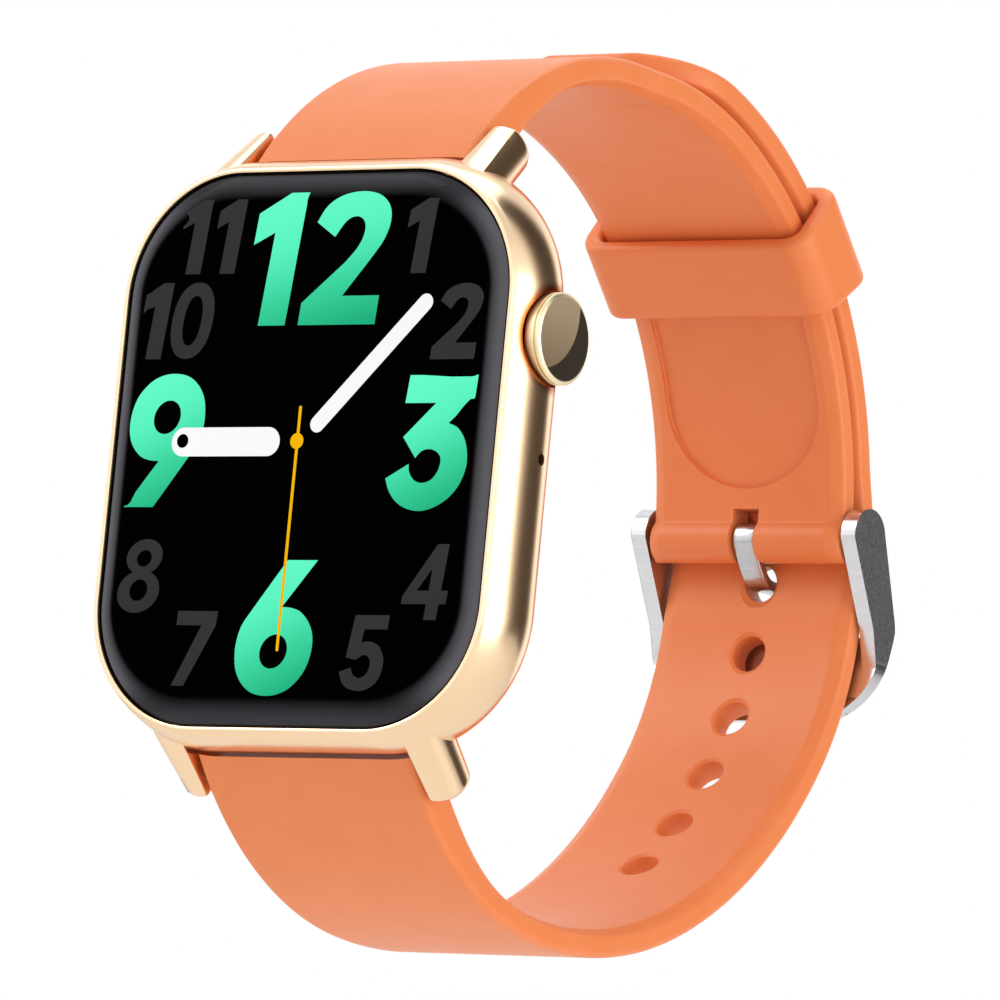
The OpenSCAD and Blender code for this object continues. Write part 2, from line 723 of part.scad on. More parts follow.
// ---- strap ----

// The case's end with room round it, which the strap's end follows
module case_room() translate([-far / 2, 0, 0]) side() linear_extrude(far)
    rotate(90) translate([corner_y, 0]) case_profile(2 * gap);

module strap_root() rod(-half_width(strap_lead), half_width(strap_lead), bar_y, bar_z, barrel_r);

module upper_strap() color(orange) difference() {
    union() {
        strap_sweep(route(upper_start, upper_route));
        strap_root();
        rod(-strap_w / 2, strap_w / 2, pin_y, pin_z, buckle_barrel_r);
    }
    case_room();
    rod(-far, far, bar_y, bar_z, bar_r + fit);
    rod(-far, far, pin_y, pin_z, pin_r + fit);
    // slot for the tongue
    block([-slot_w / 2, pin_y - 5, pin_z - 5], [slot_w / 2, pin_y + 5, pin_z + slot_up]);
    strap_recess();
}

// Shallow moulded recess on the wrist side, open at the top and round at the bottom
module strap_recess() side() translate([centre_y, centre_z, 0]) intersection() {
    round_a = recess_r / back_r * 180 / PI;
    top_a = keeper_a + 12;
    translate([0, 0, -recess_r]) linear_extrude(2 * recess_r) difference() {
        circle(back_r - strap_t + recess_depth, $fn = fine);
        circle(back_r - strap_t - 1, $fn = fine);
    }
    union() {
        rotate([0, 0, recess_a + round_a]) rotate([0, 90, 0]) cylinder(r = recess_r, h = far);
        intersection() {
            rotate([0, 0, recess_a + round_a]) block([0, 0, -recess_r], [far, far, recess_r]);
            rotate([0, 0, top_a - 90]) block([0, 0, -recess_r], [far, far, recess_r]);
        }
    }
}

// Hole through the lower half at a length s along its route, countersunk on the wrist side
module strap_hole(s) {
    p = route_at(lower_start, lower_route, s);
    t = thickness(s);
    sink_h = 0.35;
    translate([0, p[0], p[1]]) rotate([p[2], 0, 0]) translate([0, 0, swell(s) - t]) {
        translate([0, 0, -1]) cylinder(r = hole_r, h = t + 2);
        translate([0, 0, -0.02]) cylinder(r1 = hole_rim_r, r2 = hole_r, h = sink_h);
    }
}

module lower_strap() color(orange) flip_z() difference() {
    union() {
        strap_sweep(route(lower_start, lower_route), swells = true);
        strap_root();
    }
    case_room();
    rod(-far, far, bar_y, bar_z, bar_r + fit);
    for (k = [-holes_below : holes_above]) strap_hole(used_hole_s + k * hole_pitch);
    tail_tip_cut();
}

// Rounds the corners of the tail's tip, which lies at the bottom of this flipped space
module tail_tip_cut() difference() {
    flat_w = strap_w - 2 * tip_corner_r;
    block([-far / 2, tail_tip_y - 2, -far], [far / 2, tail_tip_y + tip_corner_r, -20]);
    translate([0, 0, -far - 1]) linear_extrude(far) {
        translate([-flat_w / 2, tail_tip_y - 3]) square([flat_w, far]);
        for (s = [-1, 1]) translate([s * flat_w / 2, tail_tip_y + tip_corner_r])
            circle(tip_corner_r + 0.01);
    }
}

module keeper() color(orange) side() translate([centre_y, centre_z, 0])
    rotate([0, 0, keeper_a - keeper_span / 2]) rotate_extrude(angle = keeper_span, $fn = fine)
        translate([(keeper_in_r + keeper_out_r) / 2, 0]) difference() {
            span = keeper_out_r - keeper_in_r;
            round_outline(span + 2 * keeper_wall, 2 * (keeper_half_w + keeper_wall), 1, $fn = 48);
            round_outline(span, 2 * keeper_half_w, 0.3, $fn = 32);
        }

// ---- buckle ----

// Side outline of an arm: round end at the pin, straight front edge, knee at the plate's top
module arm_outline() {
    translate([arm_y, arm_z]) circle(arm_end_r);
    front = 188;
    back = 14;
    polygon([[arm_y + arm_end_r * cos(front), arm_z + arm_end_r * sin(front)],
        [arm_y + arm_end_r * cos(back), arm_z + arm_end_r * sin(back)],
        [plate_y(plate_out_r, plate_top_z) + 0.6, plate_top_z + 0.7],
        [plate_y(plate_out_r, plate_top_z - 4), plate_top_z - 4],
        [plate_y(plate_out_r, plate_low_z), plate_low_z],
        [plate_y(plate_in_r, plate_low_z), plate_low_z],
        [plate_y(plate_in_r, plate_top_z) - 1.3, plate_top_z + 0.5]]);
}

module buckle_frame() color(steel) intersection() {
    difference() {
        union() {
            for (s = [0, 1]) mirror([s, 0, 0]) side() translate([0, 0, arm_in])
                linear_extrude(sheet_t) arm_outline();
            side() translate([0, 0, -arm_out]) linear_extrude(2 * arm_out) intersection() {
                translate([lower_back_y, lower_back_z]) {
                    difference() {
                        circle(plate_out_r, $fn = fine);
                        circle(plate_in_r, $fn = fine);
                        translate([-far, 0]) square(2 * far);
                    }
                    translate([plate_in_r, 0]) square([sheet_t, far]);
                }
                translate([lower_back_y, plate_low_z]) square([far, plate_h]);
            }
        }
        rod(-far, far, pin_y, pin_z, pin_r + run);
    }
    // rounded lower corners, seen from behind
    rotate([90, 0, 0]) translate([0, plate_low_z + far / 2, -far]) linear_extrude(far)
        round_outline(2 * arm_out, far, plate_corner_r);
}

module buckle_pin() color(steel) rod(-arm_out + 0.3, arm_out - 0.3, pin_y, pin_z, pin_r);

// Bent strip: round the pin, down the inside, out through the hole and down over the plate
module buckle_tongue() color(steel) side() translate([0, 0, -tongue_w / 2]) linear_extrude(tongue_w) {
    in_y = pin_y - loop_r + tongue_t / 2;
    // the leaning strip clears the plate both at the plate's top and at the strip's own tip
    out_y = max([for (z = [plate_top_z, tongue_tip_z]) plate_y(plate_out_r, z)
        + gap + tongue_t / 2 + (hole_z - bend_r - z) * tan(tongue_lean)]);
    tip_len = hole_z - bend_r - tongue_tip_z;
    difference() {
        union() {
            translate([pin_y, pin_z]) circle(loop_r);
            translate([pin_y - loop_r, hole_z + bend_r]) square([tongue_t, pin_z - hole_z - bend_r]);
        }
        translate([pin_y, pin_z]) circle(pin_r + run);
    }
    tongue_bend(in_y + bend_r, hole_z + bend_r, 180);
    translate([in_y + bend_r, hole_z - tongue_t / 2]) square([out_y - in_y - 2 * bend_r, tongue_t]);
    tongue_bend(out_y - bend_r, hole_z - bend_r, 0);
    translate([out_y, hole_z - bend_r]) rotate(-tongue_lean) {
        translate([-tongue_t / 2, -tip_len]) square([tongue_t, tip_len]);
        translate([0, -tip_len]) circle(tongue_t / 2);
    }
}

// Quarter bend of the strip, whose arc lies past its centre from a start angle on
module tongue_bend(y, z, start) translate([y, z]) rotate(start) intersection() {
    difference() {
        circle(bend_r + tongue_t / 2);
        circle(bend_r - tongue_t / 2);
    }
    square(far);
}

case_frame();
front_glass();
glass_gasket();
display_module();
inner_tray();
main_board();
board_shields();
battery();
gps_antenna();
motor_can();
motor_rotor();
loudspeaker();
microphone();
side_flex();
rear_cover();
rear_gasket();
rear_screws();
sensor_window();
sensor_board();
sensor_lights();
charge_pads();
charge_magnets();
crown_cap();
crown_stem();
crown_bush();
crown_seal();
crown_clip();
crown_switch();
switch_plunger();
upper_bar_tube();
upper_bar_tip_left();
upper_bar_tip_right();
lower_bar_tube();
lower_bar_tip_left();
lower_bar_tip_right();
upper_strap();
lower_strap();
keeper();
buckle_frame();
buckle_pin();
buckle_tongue();
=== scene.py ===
import math

import bmesh
import bpy
import numpy as np
from mathutils import Matrix, Vector
from mathutils.geometry import delaunay_2d_cdt


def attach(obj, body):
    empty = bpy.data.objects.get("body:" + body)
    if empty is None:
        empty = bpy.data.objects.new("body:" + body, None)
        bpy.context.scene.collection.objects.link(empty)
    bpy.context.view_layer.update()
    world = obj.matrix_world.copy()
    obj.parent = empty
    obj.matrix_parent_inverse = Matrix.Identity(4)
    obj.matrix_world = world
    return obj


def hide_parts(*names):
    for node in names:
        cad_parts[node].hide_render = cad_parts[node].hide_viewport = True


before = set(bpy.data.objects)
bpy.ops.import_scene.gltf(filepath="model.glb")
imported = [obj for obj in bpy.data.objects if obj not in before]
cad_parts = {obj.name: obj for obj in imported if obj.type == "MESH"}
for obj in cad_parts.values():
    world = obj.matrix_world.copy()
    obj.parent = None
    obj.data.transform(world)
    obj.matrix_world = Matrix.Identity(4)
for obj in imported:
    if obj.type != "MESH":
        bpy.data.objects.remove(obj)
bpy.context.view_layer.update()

mm = 0.001
quarter = np.pi / 2


class Wire:
    # A socket of a material, with + - * that add Math nodes
    def __init__(self, sheet, socket):
        self.sheet = sheet
        self.socket = socket

    def maths(self, operation, *others):
        return self.sheet.add("Math", {"operation": operation}, dict(enumerate([self, *others])))

    def __add__(self, other): return self.maths("ADD", other)
    def __radd__(self, other): return self.maths("ADD", other)
    def __mul__(self, other): return self.maths("MULTIPLY", other)
    def __rmul__(self, other): return self.maths("MULTIPLY", other)
    def __sub__(self, other): return self.maths("SUBTRACT", other)

    def __rsub__(self, other):
        return self.sheet.add("Math", {"operation": "SUBTRACT"}, {0: other, 1: self})


class Sheet:
    # The node tree of one material or of the world
    def __init__(self, owner):
        owner.use_nodes = True
        self.owner = owner
        self.tree = owner.node_tree
        self.tree.nodes.clear()

    def add(self, kind, settings=None, inputs=None, out=0):
        node = self.tree.nodes.new("ShaderNode" + kind)
        for key, value in (settings or {}).items():
            if key == "stops":
                ramp = node.color_ramp
                while len(ramp.elements) < len(value):
                    ramp.elements.new(1.0)
                for element, (place, colour) in zip(ramp.elements, value):
                    element.position = place
                    element.color = colour
            else:
                setattr(node, key, value)
        for key, value in (inputs or {}).items():
            if isinstance(value, Wire):
                self.tree.links.new(value.socket, node.inputs[key])
            else:
                node.inputs[key].default_value = value
        return Wire(self, node.outputs[out])

    def mix(self, factor, first, second):
        return self.add("Mix", {"data_type": "RGBA"}, {0: factor, 6: first, 7: second}, 2)

    def step(self, value, low, high, start=0.0, end=1.0):
        return self.add("MapRange", {"interpolation_type": "SMOOTHSTEP"},
                        {0: value, 1: low, 2: high, 3: start, 4: end})

    # Object coordinates in millimetres
    def place(self):
        metres = self.add("TexCoord", out="Object")
        return self.add("VectorMath", {"operation": "SCALE"}, {0: metres, "Scale": 1000.0})

    def axes(self, vector):
        node = self.add("SeparateXYZ", inputs={0: vector}).socket.node
        return [Wire(self, output) for output in node.outputs]

    def away(self, one, two, centre=(0, 0)):
        # Distance of the point (one, two) from the centre
        one, two = one - centre[0], two - centre[1]
        return (one * one + two * two).maths("SQRT")

    def noise(self, vector, scale, detail=3.0, rough=0.5):
        return self.add("TexNoise", inputs={"Vector": vector, "Scale": scale, "Detail": detail,
                                            "Roughness": rough})

    def stretch(self, vector, *factors):
        return self.add("VectorMath", {"operation": "MULTIPLY"}, {0: vector, 1: factors})

    def finish(self, colour, rough, height=None, depth=0.0, **more):
        # Other sockets are named in camelCase; the bump's depth is in millimetres
        inputs = {"Base Color": colour, "Roughness": rough}
        inputs.update({sockets[key]: value for key, value in more.items()})
        if height:
            inputs["Normal"] = self.add("Bump", inputs={"Height": height, "Distance": depth * mm})
        shader = self.add("BsdfPrincipled", inputs=inputs)
        self.tree.links.new(shader.socket, self.tree.nodes.new("ShaderNodeOutputMaterial").inputs[0])
        return self.owner


sockets = {"metal": "Metallic", "gloss": "Specular IOR Level", "coat": "Coat Weight",
           "coatRough": "Coat Roughness", "sheen": "Sheen Weight", "sheenRough": "Sheen Roughness",
           "sheenTint": "Sheen Tint", "glow": "Emission Color", "glowLevel": "Emission Strength"}


def rgb(text):
    # Linear colour of a hex colour
    values = [int(text[i:i + 2], 16) / 255 for i in (0, 2, 4)]
    return tuple(v / 12.92 if v <= 0.04045 else ((v + 0.055) / 1.055) ** 2.4 for v in values) + (1.0,)


def newSheet(name):
    # Sheet of a new material, and the place on the piece in millimetres
    sheet = Sheet(bpy.data.materials.new(name))
    return sheet, sheet.place()


def meshObject(name, points, faces):
    mesh = bpy.data.meshes.new(name)
    mesh.from_pydata((np.asarray(points, float).reshape(-1, 3) * mm).tolist(), [], faces)
    mesh.validate()
    made = bpy.data.objects.new(name, mesh)
    bpy.context.scene.collection.objects.link(made)
    return made


def tidyMesh(made, angle=35, weld=0.002):
    # Doubles merged, faces turned outwards, smooth apart from edges sharper than the angle
    work = bmesh.new()
    work.from_mesh(made.data)
    bmesh.ops.remove_doubles(work, verts=work.verts, dist=weld * mm)
    bmesh.ops.recalc_face_normals(work, faces=work.faces)
    work.to_mesh(made.data)
    work.free()
    made.data.shade_smooth()
    made.data.set_sharp_from_angle(angle=math.radians(angle))
    return made


def gridObject(name, points, closeRows=False, angle=35):
    # Grid of rows x columns: each row is a closed loop. Rows close into a ring, or end in two caps
    rows, columns = points.shape[:2]
    here = np.arange(rows if closeRows else rows - 1)[:, None] * columns
    after = (here + columns) % (rows * columns)
    c = np.arange(columns)
    d = (c + 1) % columns
    faces = np.stack([here + c, here + d, after + d, after + c], -1).reshape(-1, 4).tolist()
    if not closeRows:
        faces += [list(range(columns))[::-1], list(range((rows - 1) * columns, rows * columns))]
    return tidyMesh(meshObject(name, points, faces), angle)


def applied(made, kind, **settings):
    # The object with the mesh that one modifier gives it
    work = made.modifiers.new("work", kind)
    for key, value in settings.items():
        setattr(work, key, value)
    bpy.context.view_layer.update()
    graph = bpy.context.evaluated_depsgraph_get()
    mesh = bpy.data.meshes.new_from_object(made.evaluated_get(graph))
    made.modifiers.clear()
    made.data = mesh
    return made


def carve(made, cutter, operation="DIFFERENCE"):
    applied(made, "BOOLEAN", operation=operation, solver="EXACT", object=cutter)
    bpy.data.objects.remove(cutter)


def joined(name, parts):
    # One mesh of several closed ones
    points, faces, start = [], [], 0
    for part in parts:
        flat = np.empty(3 * len(part.data.vertices), np.float32)
        part.data.vertices.foreach_get("co", flat)
        points.append(flat.astype(float).reshape(-1, 3) / mm)
        faces += [[i + start for i in face.vertices] for face in part.data.polygons]
        start += len(points[-1])
        bpy.data.objects.remove(part)
    return meshObject(name, np.vstack(points), faces)


def put(made, body, slot, *replaced, look=None):
    # The look is the slot's own unless another is given
    made.data.materials.clear()
    made.data.materials.append(look or materials[slot])
    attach(made, body)
    if replaced:
        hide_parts(*replaced)


def turned(name, profile, y, z, count=96):
    # Profile of (radius, x) turned about x: point = (x, y + radius * cos t, z + radius * sin t)
    t = np.linspace(0, 2 * np.pi, count, endpoint=False)
    radius, along = np.array(profile, float).T[:, :, None]
    points = np.stack([along + 0 * t, y + radius * np.cos(t), z + radius * np.sin(t)], -1)
    return gridObject(name, points)


def rod(name, x0, x1, y, z, radius, count=64, edge=0.0):
    # Round bar along x, with a chamfer at both ends where an edge is given
    profile = [(radius - edge, x0), (radius, x0 + edge), (radius, x1 - edge), (radius - edge, x1)]
    return turned(name, profile if edge else profile[::3], y, z, count)


def outline(cornerX, cornerY, steps=28, along=24):
    # Rounded rectangle as centres and outward directions: at each corner the direction turns by a
    # quarter, and between two corners the centre moves on
    signs = np.array([(1, 1), (-1, 1), (-1, -1), (1, -1)], float)
    k = np.concatenate([np.zeros(steps), np.linspace(0, 1, along + 2)[1:-1]])[:, None]
    turn = np.concatenate([np.linspace(0, quarter, steps), np.full(along, quarter)])
    turn = (turn + np.arange(4)[:, None] * quarter).ravel()
    centres = signs[:, None] + (np.roll(signs, -1, 0) - signs)[:, None] * k
    return centres.reshape(-1, 2) * (cornerX, cornerY), np.column_stack([np.cos(turn), np.sin(turn)])


def roundedBar(width, height, r, steps):
    # Closed loop of a rectangle with rounded corners: corner centre + r * outward direction
    centres, ways = outline(width / 2 - r, height / 2 - r, steps, 0)
    return centres + r * ways


view = {"azimuth": 34.848, "elevation": -7.882, "roll": 5.409, "distance": 701.545,
        "aside": -15.055, "raised": 3.934, "lens": 339.2, "sensor": 36, "glassFront": 10.6}


def makeCamera():
    # Turned by the azimuth, tipped by the elevation, rolled, and moved back from the glass's middle
    a, e, r = (math.radians(view[k]) for k in ("azimuth", "elevation", "roll"))
    way = Matrix.Rotation(a, 4, "Z") @ Matrix.Rotation(quarter - e, 4, "X") @ Matrix.Rotation(r, 4, "Z")
    glassMiddle = Matrix.Translation((0, -view["glassFront"] * mm, 0))
    back = Matrix.Translation(Vector((-view["aside"], -view["raised"], view["distance"])) * mm)
    camera = bpy.data.objects.new("camera", bpy.data.cameras.new("camera"))
    camera.data.lens = view["lens"]
    camera.data.sensor_width = view["sensor"]
    camera.data.clip_start = 0.01
    camera.matrix_world = glassMiddle @ way @ back
    bpy.context.scene.collection.objects.link(camera)
    bpy.context.scene.camera = camera


# The dark band's directions in degrees from +x towards +y; levels of light, where 1 is white
lighting = {"skyForMatt": 0.71, "bandFrom": 29, "bandTo": 74, "bandSoft": 9, "bandLevel": 0.06,
            "bandTint": (0.8, 0.6, 0.45, 1), "mirrorLevel": 1.3,
            "high": (0.3, 0.8, 0.7), "low": (-0.66, -0.3, 0.16)}


def makeWorld():
    # White for the camera and glass, a dark band for metal, a soft level for matt surfaces
    world = bpy.data.worlds.new("studio")
    bpy.context.scene.world = world
    sheet = Sheet(world)
    path = sheet.add("LightPath").socket.node
    camera, glossy, through = (Wire(sheet, path.outputs[f"Is {kind} Ray"])
                               for kind in ("Camera", "Glossy", "Transmission"))
    x, y, z = sheet.axes(sheet.add("TexCoord", out="Generated"))
    turn = y.maths("ARCTAN2", x) * (180 / math.pi)
    soft = lighting["bandSoft"]
    rise, fall = (sheet.step(turn, lighting[end] - soft, lighting[end] + soft)
                  for end in ("bandFrom", "bandTo"))
    band = rise * (1 - fall)
    highFrom, highTo, highLevel = lighting["high"]
    lowFrom, lowTo, lowLevel = lighting["low"]
    ends = sheet.step(z, lowFrom, lowTo, lowLevel, 1.0) * sheet.step(z, highFrom, highTo, 1.0, highLevel)
    level = (1 - band * (1 - lighting["bandLevel"])) * ends * lighting["mirrorLevel"]
    mirror = glossy * level + (1 - glossy) * lighting["skyForMatt"]
    seen = camera.maths("MAXIMUM", through)
    tint = sheet.mix(band * (1 - seen), (1, 1, 1, 1), lighting["bandTint"])
    shader = sheet.add("Background", inputs={0: tint, 1: seen + (1 - seen) * mirror})
    sheet.tree.links.new(shader.socket, sheet.tree.nodes.new("ShaderNodeOutputWorld").inputs[0])


lamps = {"key": {"place": (-0.75, -0.6, 0.75), "size": 0.6, "watts": 4.2},
         "fill": {"place": (0.9, 0.05, 0.05), "size": 0.6, "watts": 3.0},
         "top": {"place": (-0.1, 0.15, 0.95), "size": 0.7, "watts": 2.6}}
lampAim = Vector((0, 0.02, 0))


def makeLamps():
    for name, lamp in lamps.items():
        light = bpy.data.lights.new(name, "AREA")
        light.energy = lamp["watts"]
        light.size = lamp["size"]
        made = bpy.data.objects.new(name, light)
        made.location = lamp["place"]
        made.rotation_euler = (lampAim - Vector(lamp["place"])).to_track_quat("-Z", "Y").to_euler()
        made.visible_camera = False
        bpy.context.scene.collection.objects.link(made)


floor = {"level": -260.0, "half": 1500, "tones": ((0.9, 0.9, 0.9, 1), (0.94, 0.94, 0.935, 1))}


def makeFloor():
    sheet, place = newSheet("paleFloor")
    colour = sheet.mix(sheet.noise(place, 0.006), *floor["tones"])
    half, level = floor["half"], floor["level"]
    corners = [(-half, -half, level), (half, -half, level), (half, half, level), (-half, half, level)]
    made = meshObject("floor", corners, [[0, 1, 2, 3]])
    made.data.materials.append(sheet.finish(colour, 0.85))


makeCamera()
makeWorld()
makeLamps()
makeFloor()
bpy.context.scene.view_settings.view_transform = "Standard"
print("camera, light and floor are ready")


# Millimetres: the corners' axes, then radii and levels of the section, from the rear window up
case = {"cornerX": 7.9, "cornerY": 11.5, "glassRound": 9.5, "outer": 10.95, "backRound": 4.4, "wide": 6.4,
        "lip": 10.2, "back": 2.0, "frontRound": 7.72, "ledge": 1.4, "ledgeLevel": 8.9, "mouth": 5.4,
        "floor": 3.2, "glassTop": 10.6, "glassBottom": 9.1, "lipEdge": 0.12}
crownAxis = (-5.6, 8.9)      # y and z of the line that the crown turns about

# The recess tone is a painted reflection of the strap in the crown's recess, not a colour of the metal
goldLook = {"tones": ("f5d5ae", "f8dab5"), "recess": "b5541a", "rough": (0.19, 0.22), "grain": 0.0004}


def goldMetal():
    # Satin champagne metal, with a warm orange-brown reflection of the strap painted inside the crown's
    # recess
    sheet, place = newSheet("satinGold")
    x, y, z = sheet.axes(place)
    grain = sheet.noise(place, 14.0, 4.0)
    colour = sheet.mix(sheet.noise(place, 0.35, 2.0), *map(rgb, goldLook["tones"]))
    # Painted reflection: orange-brown base colour around the crown's axis, near the crown's side, stands in
    # for the strap reflected in the recess
    near = 1 - sheet.step(sheet.away(y, z, crownAxis), 3.6, 4.5)
    colour = sheet.mix(near * sheet.step(x, 14.0, 15.0), colour, rgb(goldLook["recess"]))
    rough = sheet.step(grain, 0.2, 0.8, *goldLook["rough"])
    return sheet.finish(colour, rough, grain, goldLook["grain"], metal=1.0)


# The curve is a circle's centre (y, z) and radius, the edge of a reflection painted on the crown's face:
# inside it the face has the painted light tone, outside it the painted dark tone
crownLook = {"rim": ("efdfb4", "faf0cc"), "light": ("8f7a62", "b5a084"), "dark": "3c362e",
             "faceRadius": 3.1, "faceLevel": 19.56, "curve": (-8.8, 11.1), "reflectionEdgeRadius": 4.82}


def crownMetal():
    # Brushed round the rim; on the polished face a reflection is painted in two tones along a curve, its
    # light tone lighter towards +z
    look = crownLook
    sheet, place = newSheet("crownGold")
    x, y, z = sheet.axes(place)
    brush = sheet.noise(sheet.stretch(place, 26.0, 0.6, 0.6), 1.0)
    inFace = 1 - sheet.step(sheet.away(y, z, crownAxis), look["faceRadius"], look["faceRadius"] + 0.06)
    face = sheet.step(x, look["faceLevel"], look["faceLevel"] + 0.04) * inFace
    # Painted reflection: the face's light and dark tones split along the curve, and the light tone is graded
    # along z
    past = sheet.step(sheet.away(y, z, look["curve"]), look["reflectionEdgeRadius"], look["reflectionEdgeRadius"] + 0.08)
    light = sheet.mix(sheet.step(z, 6.0, 12.0), *map(rgb, look["light"]))
    tone = sheet.mix(1 - past, rgb(look["dark"]), light)
    colour = sheet.mix(face, sheet.mix(brush, *map(rgb, look["rim"])), tone)
    return sheet.finish(colour, 0.3 - face * 0.16 + brush * 0.08, brush * (1 - face), 0.006,
                        metal=1 - face * 0.75)


siliconeLook = {"tones": ("ec864e", "ea834a"), "rough": (0.38, 0.45), "grain": 0.004,
                "sheen": "ffd8bc", "gloss": 0.36}


def silicone():
    # Moulded rubber: two near tones in soft clouds, under a fine even grain
    look = siliconeLook
    sheet, place = newSheet("orangeSilicone")
    cloud = sheet.step(sheet.noise(place, 0.3), 0.3, 0.7)
    grain = sheet.noise(place, 9.0)
    return sheet.finish(sheet.mix(cloud, *map(rgb, look["tones"])),
                        sheet.step(grain, 0.2, 0.8, *look["rough"]), grain, look["grain"],
                        gloss=look["gloss"], sheen=0.02, sheenRough=0.4, sheenTint=rgb(look["sheen"]))


# Widths of the margin beside and above the dial, where a grey reflection is painted, and of the black line
# that closes it
glassLook = {"edge": "66666c", "middle": "101012", "ends": "404045", "deep": "000001",
             "side": 1.35, "end": 2.0, "line": 0.14}


def blackGlass():
    # Black inside; along the curved edge a painted grey reflection band, closed by a thin black line
    look, rim = glassLook, case["glassRound"]
    middle, edge, ends, deep = (rgb(look[key]) for key in ("middle", "edge", "ends", "deep"))
    sheet, place = newSheet("blackGlass")
    x, y, z = sheet.axes(place)
    across = (x.maths("ABSOLUTE") - case["cornerX"]).maths("MAXIMUM", 0.0)
    along = (z.maths("ABSOLUTE") - case["cornerY"]).maths("MAXIMUM", 0.0)
    reach = sheet.away(across, along)
    inner = rim - look["end"]
    inside = sheet.away(across * (inner / (rim - look["side"])), along)
    # Painted reflection: the grey band along the curved edge, a darker grey towards the ends
    band = sheet.mix(sheet.step(reach, inner, rim - 0.05), middle, edge)
    endReflection = sheet.mix(sheet.step(along, inner - 0.3, rim - 0.05), middle, ends)
    band = sheet.mix(sheet.step(along, 5.5, 9.0), band, endReflection)
    colour = sheet.mix(sheet.step(inside, inner - 0.2, inner + 0.2), deep, band)
    line = sheet.step(reach, rim - look["line"] - 0.05, rim - look["line"])
    dust = sheet.noise(place, 1.5, 2.0)
    colour = sheet.mix(line, colour, (0.001, 0.001, 0.001, 1))
    return sheet.finish(colour, sheet.step(dust, 0.3, 0.7, 0.05, 0.09), gloss=0.0, coatRough=0.04,
                        coat=sheet.step(reach, inner, rim, 0.01, 0.1))


def brushedSteel(name, first, second, rough, lines=(0.5, 9.0, 9.0)):
    # Fine lines along the axis whose factor is smallest
    sheet, place = newSheet(name)
    brush = sheet.noise(sheet.stretch(place, *lines), 1.5, 4.0)
    return sheet.finish(sheet.mix(brush, rgb(first), rgb(second)),
                        sheet.step(brush, 0.2, 0.8, *rough), brush, 0.004, metal=1.0)


buckleLook = {"bright": ("c9cacd", "e4e4e7"), "darkerOuter": ("5c5e60", "818385"), "faceLevel": 10.6}


def buckleSteel():
    # Bright brushed edges, and a darker, rougher and grainier face on the outside of each arm
    sheet, place = newSheet("buckleSteel")
    x, y, z = sheet.axes(place)
    face = sheet.step(x.maths("ABSOLUTE"), buckleLook["faceLevel"], buckleLook["faceLevel"] + 0.04)
    grain = sheet.noise(place, 5.5, 4.0, 0.7)
    brush = sheet.noise(sheet.stretch(place, 0.4, 6.0, 1.2), 1.5, 4.0)
    bright = sheet.mix(brush, *map(rgb, buckleLook["bright"]))
    # The outside face of each arm gets darker grey tones than the bright edges
    darkerOuter = sheet.mix(sheet.step(grain, 0.3, 0.7), *map(rgb, buckleLook["darkerOuter"]))
    return sheet.finish(sheet.mix(face, bright, darkerOuter), 0.18 + face * 0.3 + grain * 0.06,
                        brush * (1 - face) * 0.3 + grain * face, 0.02, metal=1.0)


def plainFinish(name, first, second, scale, rough, metal=0.0, depth=0.005):
    # A two-tone finish with a fine grain: moulded plastic, rubber, foil, film or ceramic
    sheet, place = newSheet(name)
    grain = sheet.noise(place, scale, 4.0)
    return sheet.finish(sheet.mix(sheet.step(grain, 0.35, 0.65), rgb(first), rgb(second)),
                        sheet.step(grain, 0.2, 0.8, rough, rough + 0.1), grain, depth, metal=metal)


def boardFinish():
    # Green laminate with paler copper tracks
    sheet, place = newSheet("boardGreen")
    white, black = (1, 1, 1, 1), (0, 0, 0, 1)
    tracks = sheet.add("TexBrick", {"offset": 0.5}, {
        "Vector": place, "Scale": 0.9, "Mortar Size": 0.03, "Color1": white, "Color2": white,
        "Mortar": black})
    grain = sheet.noise(place, 4.0)
    dark = sheet.mix(grain, rgb("0f3d26"), rgb("174d31"))
    return sheet.finish(sheet.mix(tracks, rgb("3f8256"), dark), sheet.step(grain, 0.2, 0.8, 0.35, 0.5),
                        coat=0.3)


materials = {
    "case_metal": goldMetal(), "crown_metal": crownMetal(), "silicone": silicone(),
    "front_glass": blackGlass(), "buckle_steel": buckleSteel(),
    "tongue_steel": brushedSteel("tongueSteel", "a9aaad", "d0d1d4", (0.18, 0.28), (0.4, 6.0, 1.2)),
    "steel": brushedSteel("turnedSteel", "b9babd", "dcdde0", (0.16, 0.28)),
    "window_glass": plainFinish("windowGlass", "08080a", "0d0d10", 1.2, 0.03, depth=0.0005),
    "display": plainFinish("displayPanel", "050506", "0b0b0d", 2.0, 0.15, depth=0.001),
    "seal_rubber": plainFinish("sealRubber", "1b1b1d", "242427", 6.0, 0.6),
    "inner_plastic": plainFinish("innerPlastic", "2b2c2f", "36373b", 4.0, 0.45),
    "circuit_board": boardFinish(),
    "flex_film": plainFinish("flexFilm", "b5651d", "c9792b", 1.4, 0.3),
    "battery_foil": plainFinish("batteryFoil", "9a9ca1", "b2b4b9", 0.8, 0.3, metal=0.9, depth=0.05),
    "antenna_block": plainFinish("antennaCeramic", "cdbd9c", "ddcfb2", 3.0, 0.4),
    "rotor_weight": plainFinish("rotorWeight", "6f675d", "857c70", 5.0, 0.3, metal=1.0),
    "lamps": plainFinish("lampLens", "d9efdf", "eef7ef", 2.0, 0.15),
    "pad_gold": plainFinish("padGold", "d9a54c", "edbb62", 5.0, 0.2, metal=1.0),
}
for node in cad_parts.values():
    for i, old in enumerate(node.data.materials):
        node.data.materials[i] = materials[old.name.split(".")[0]]
print("materials are ready")


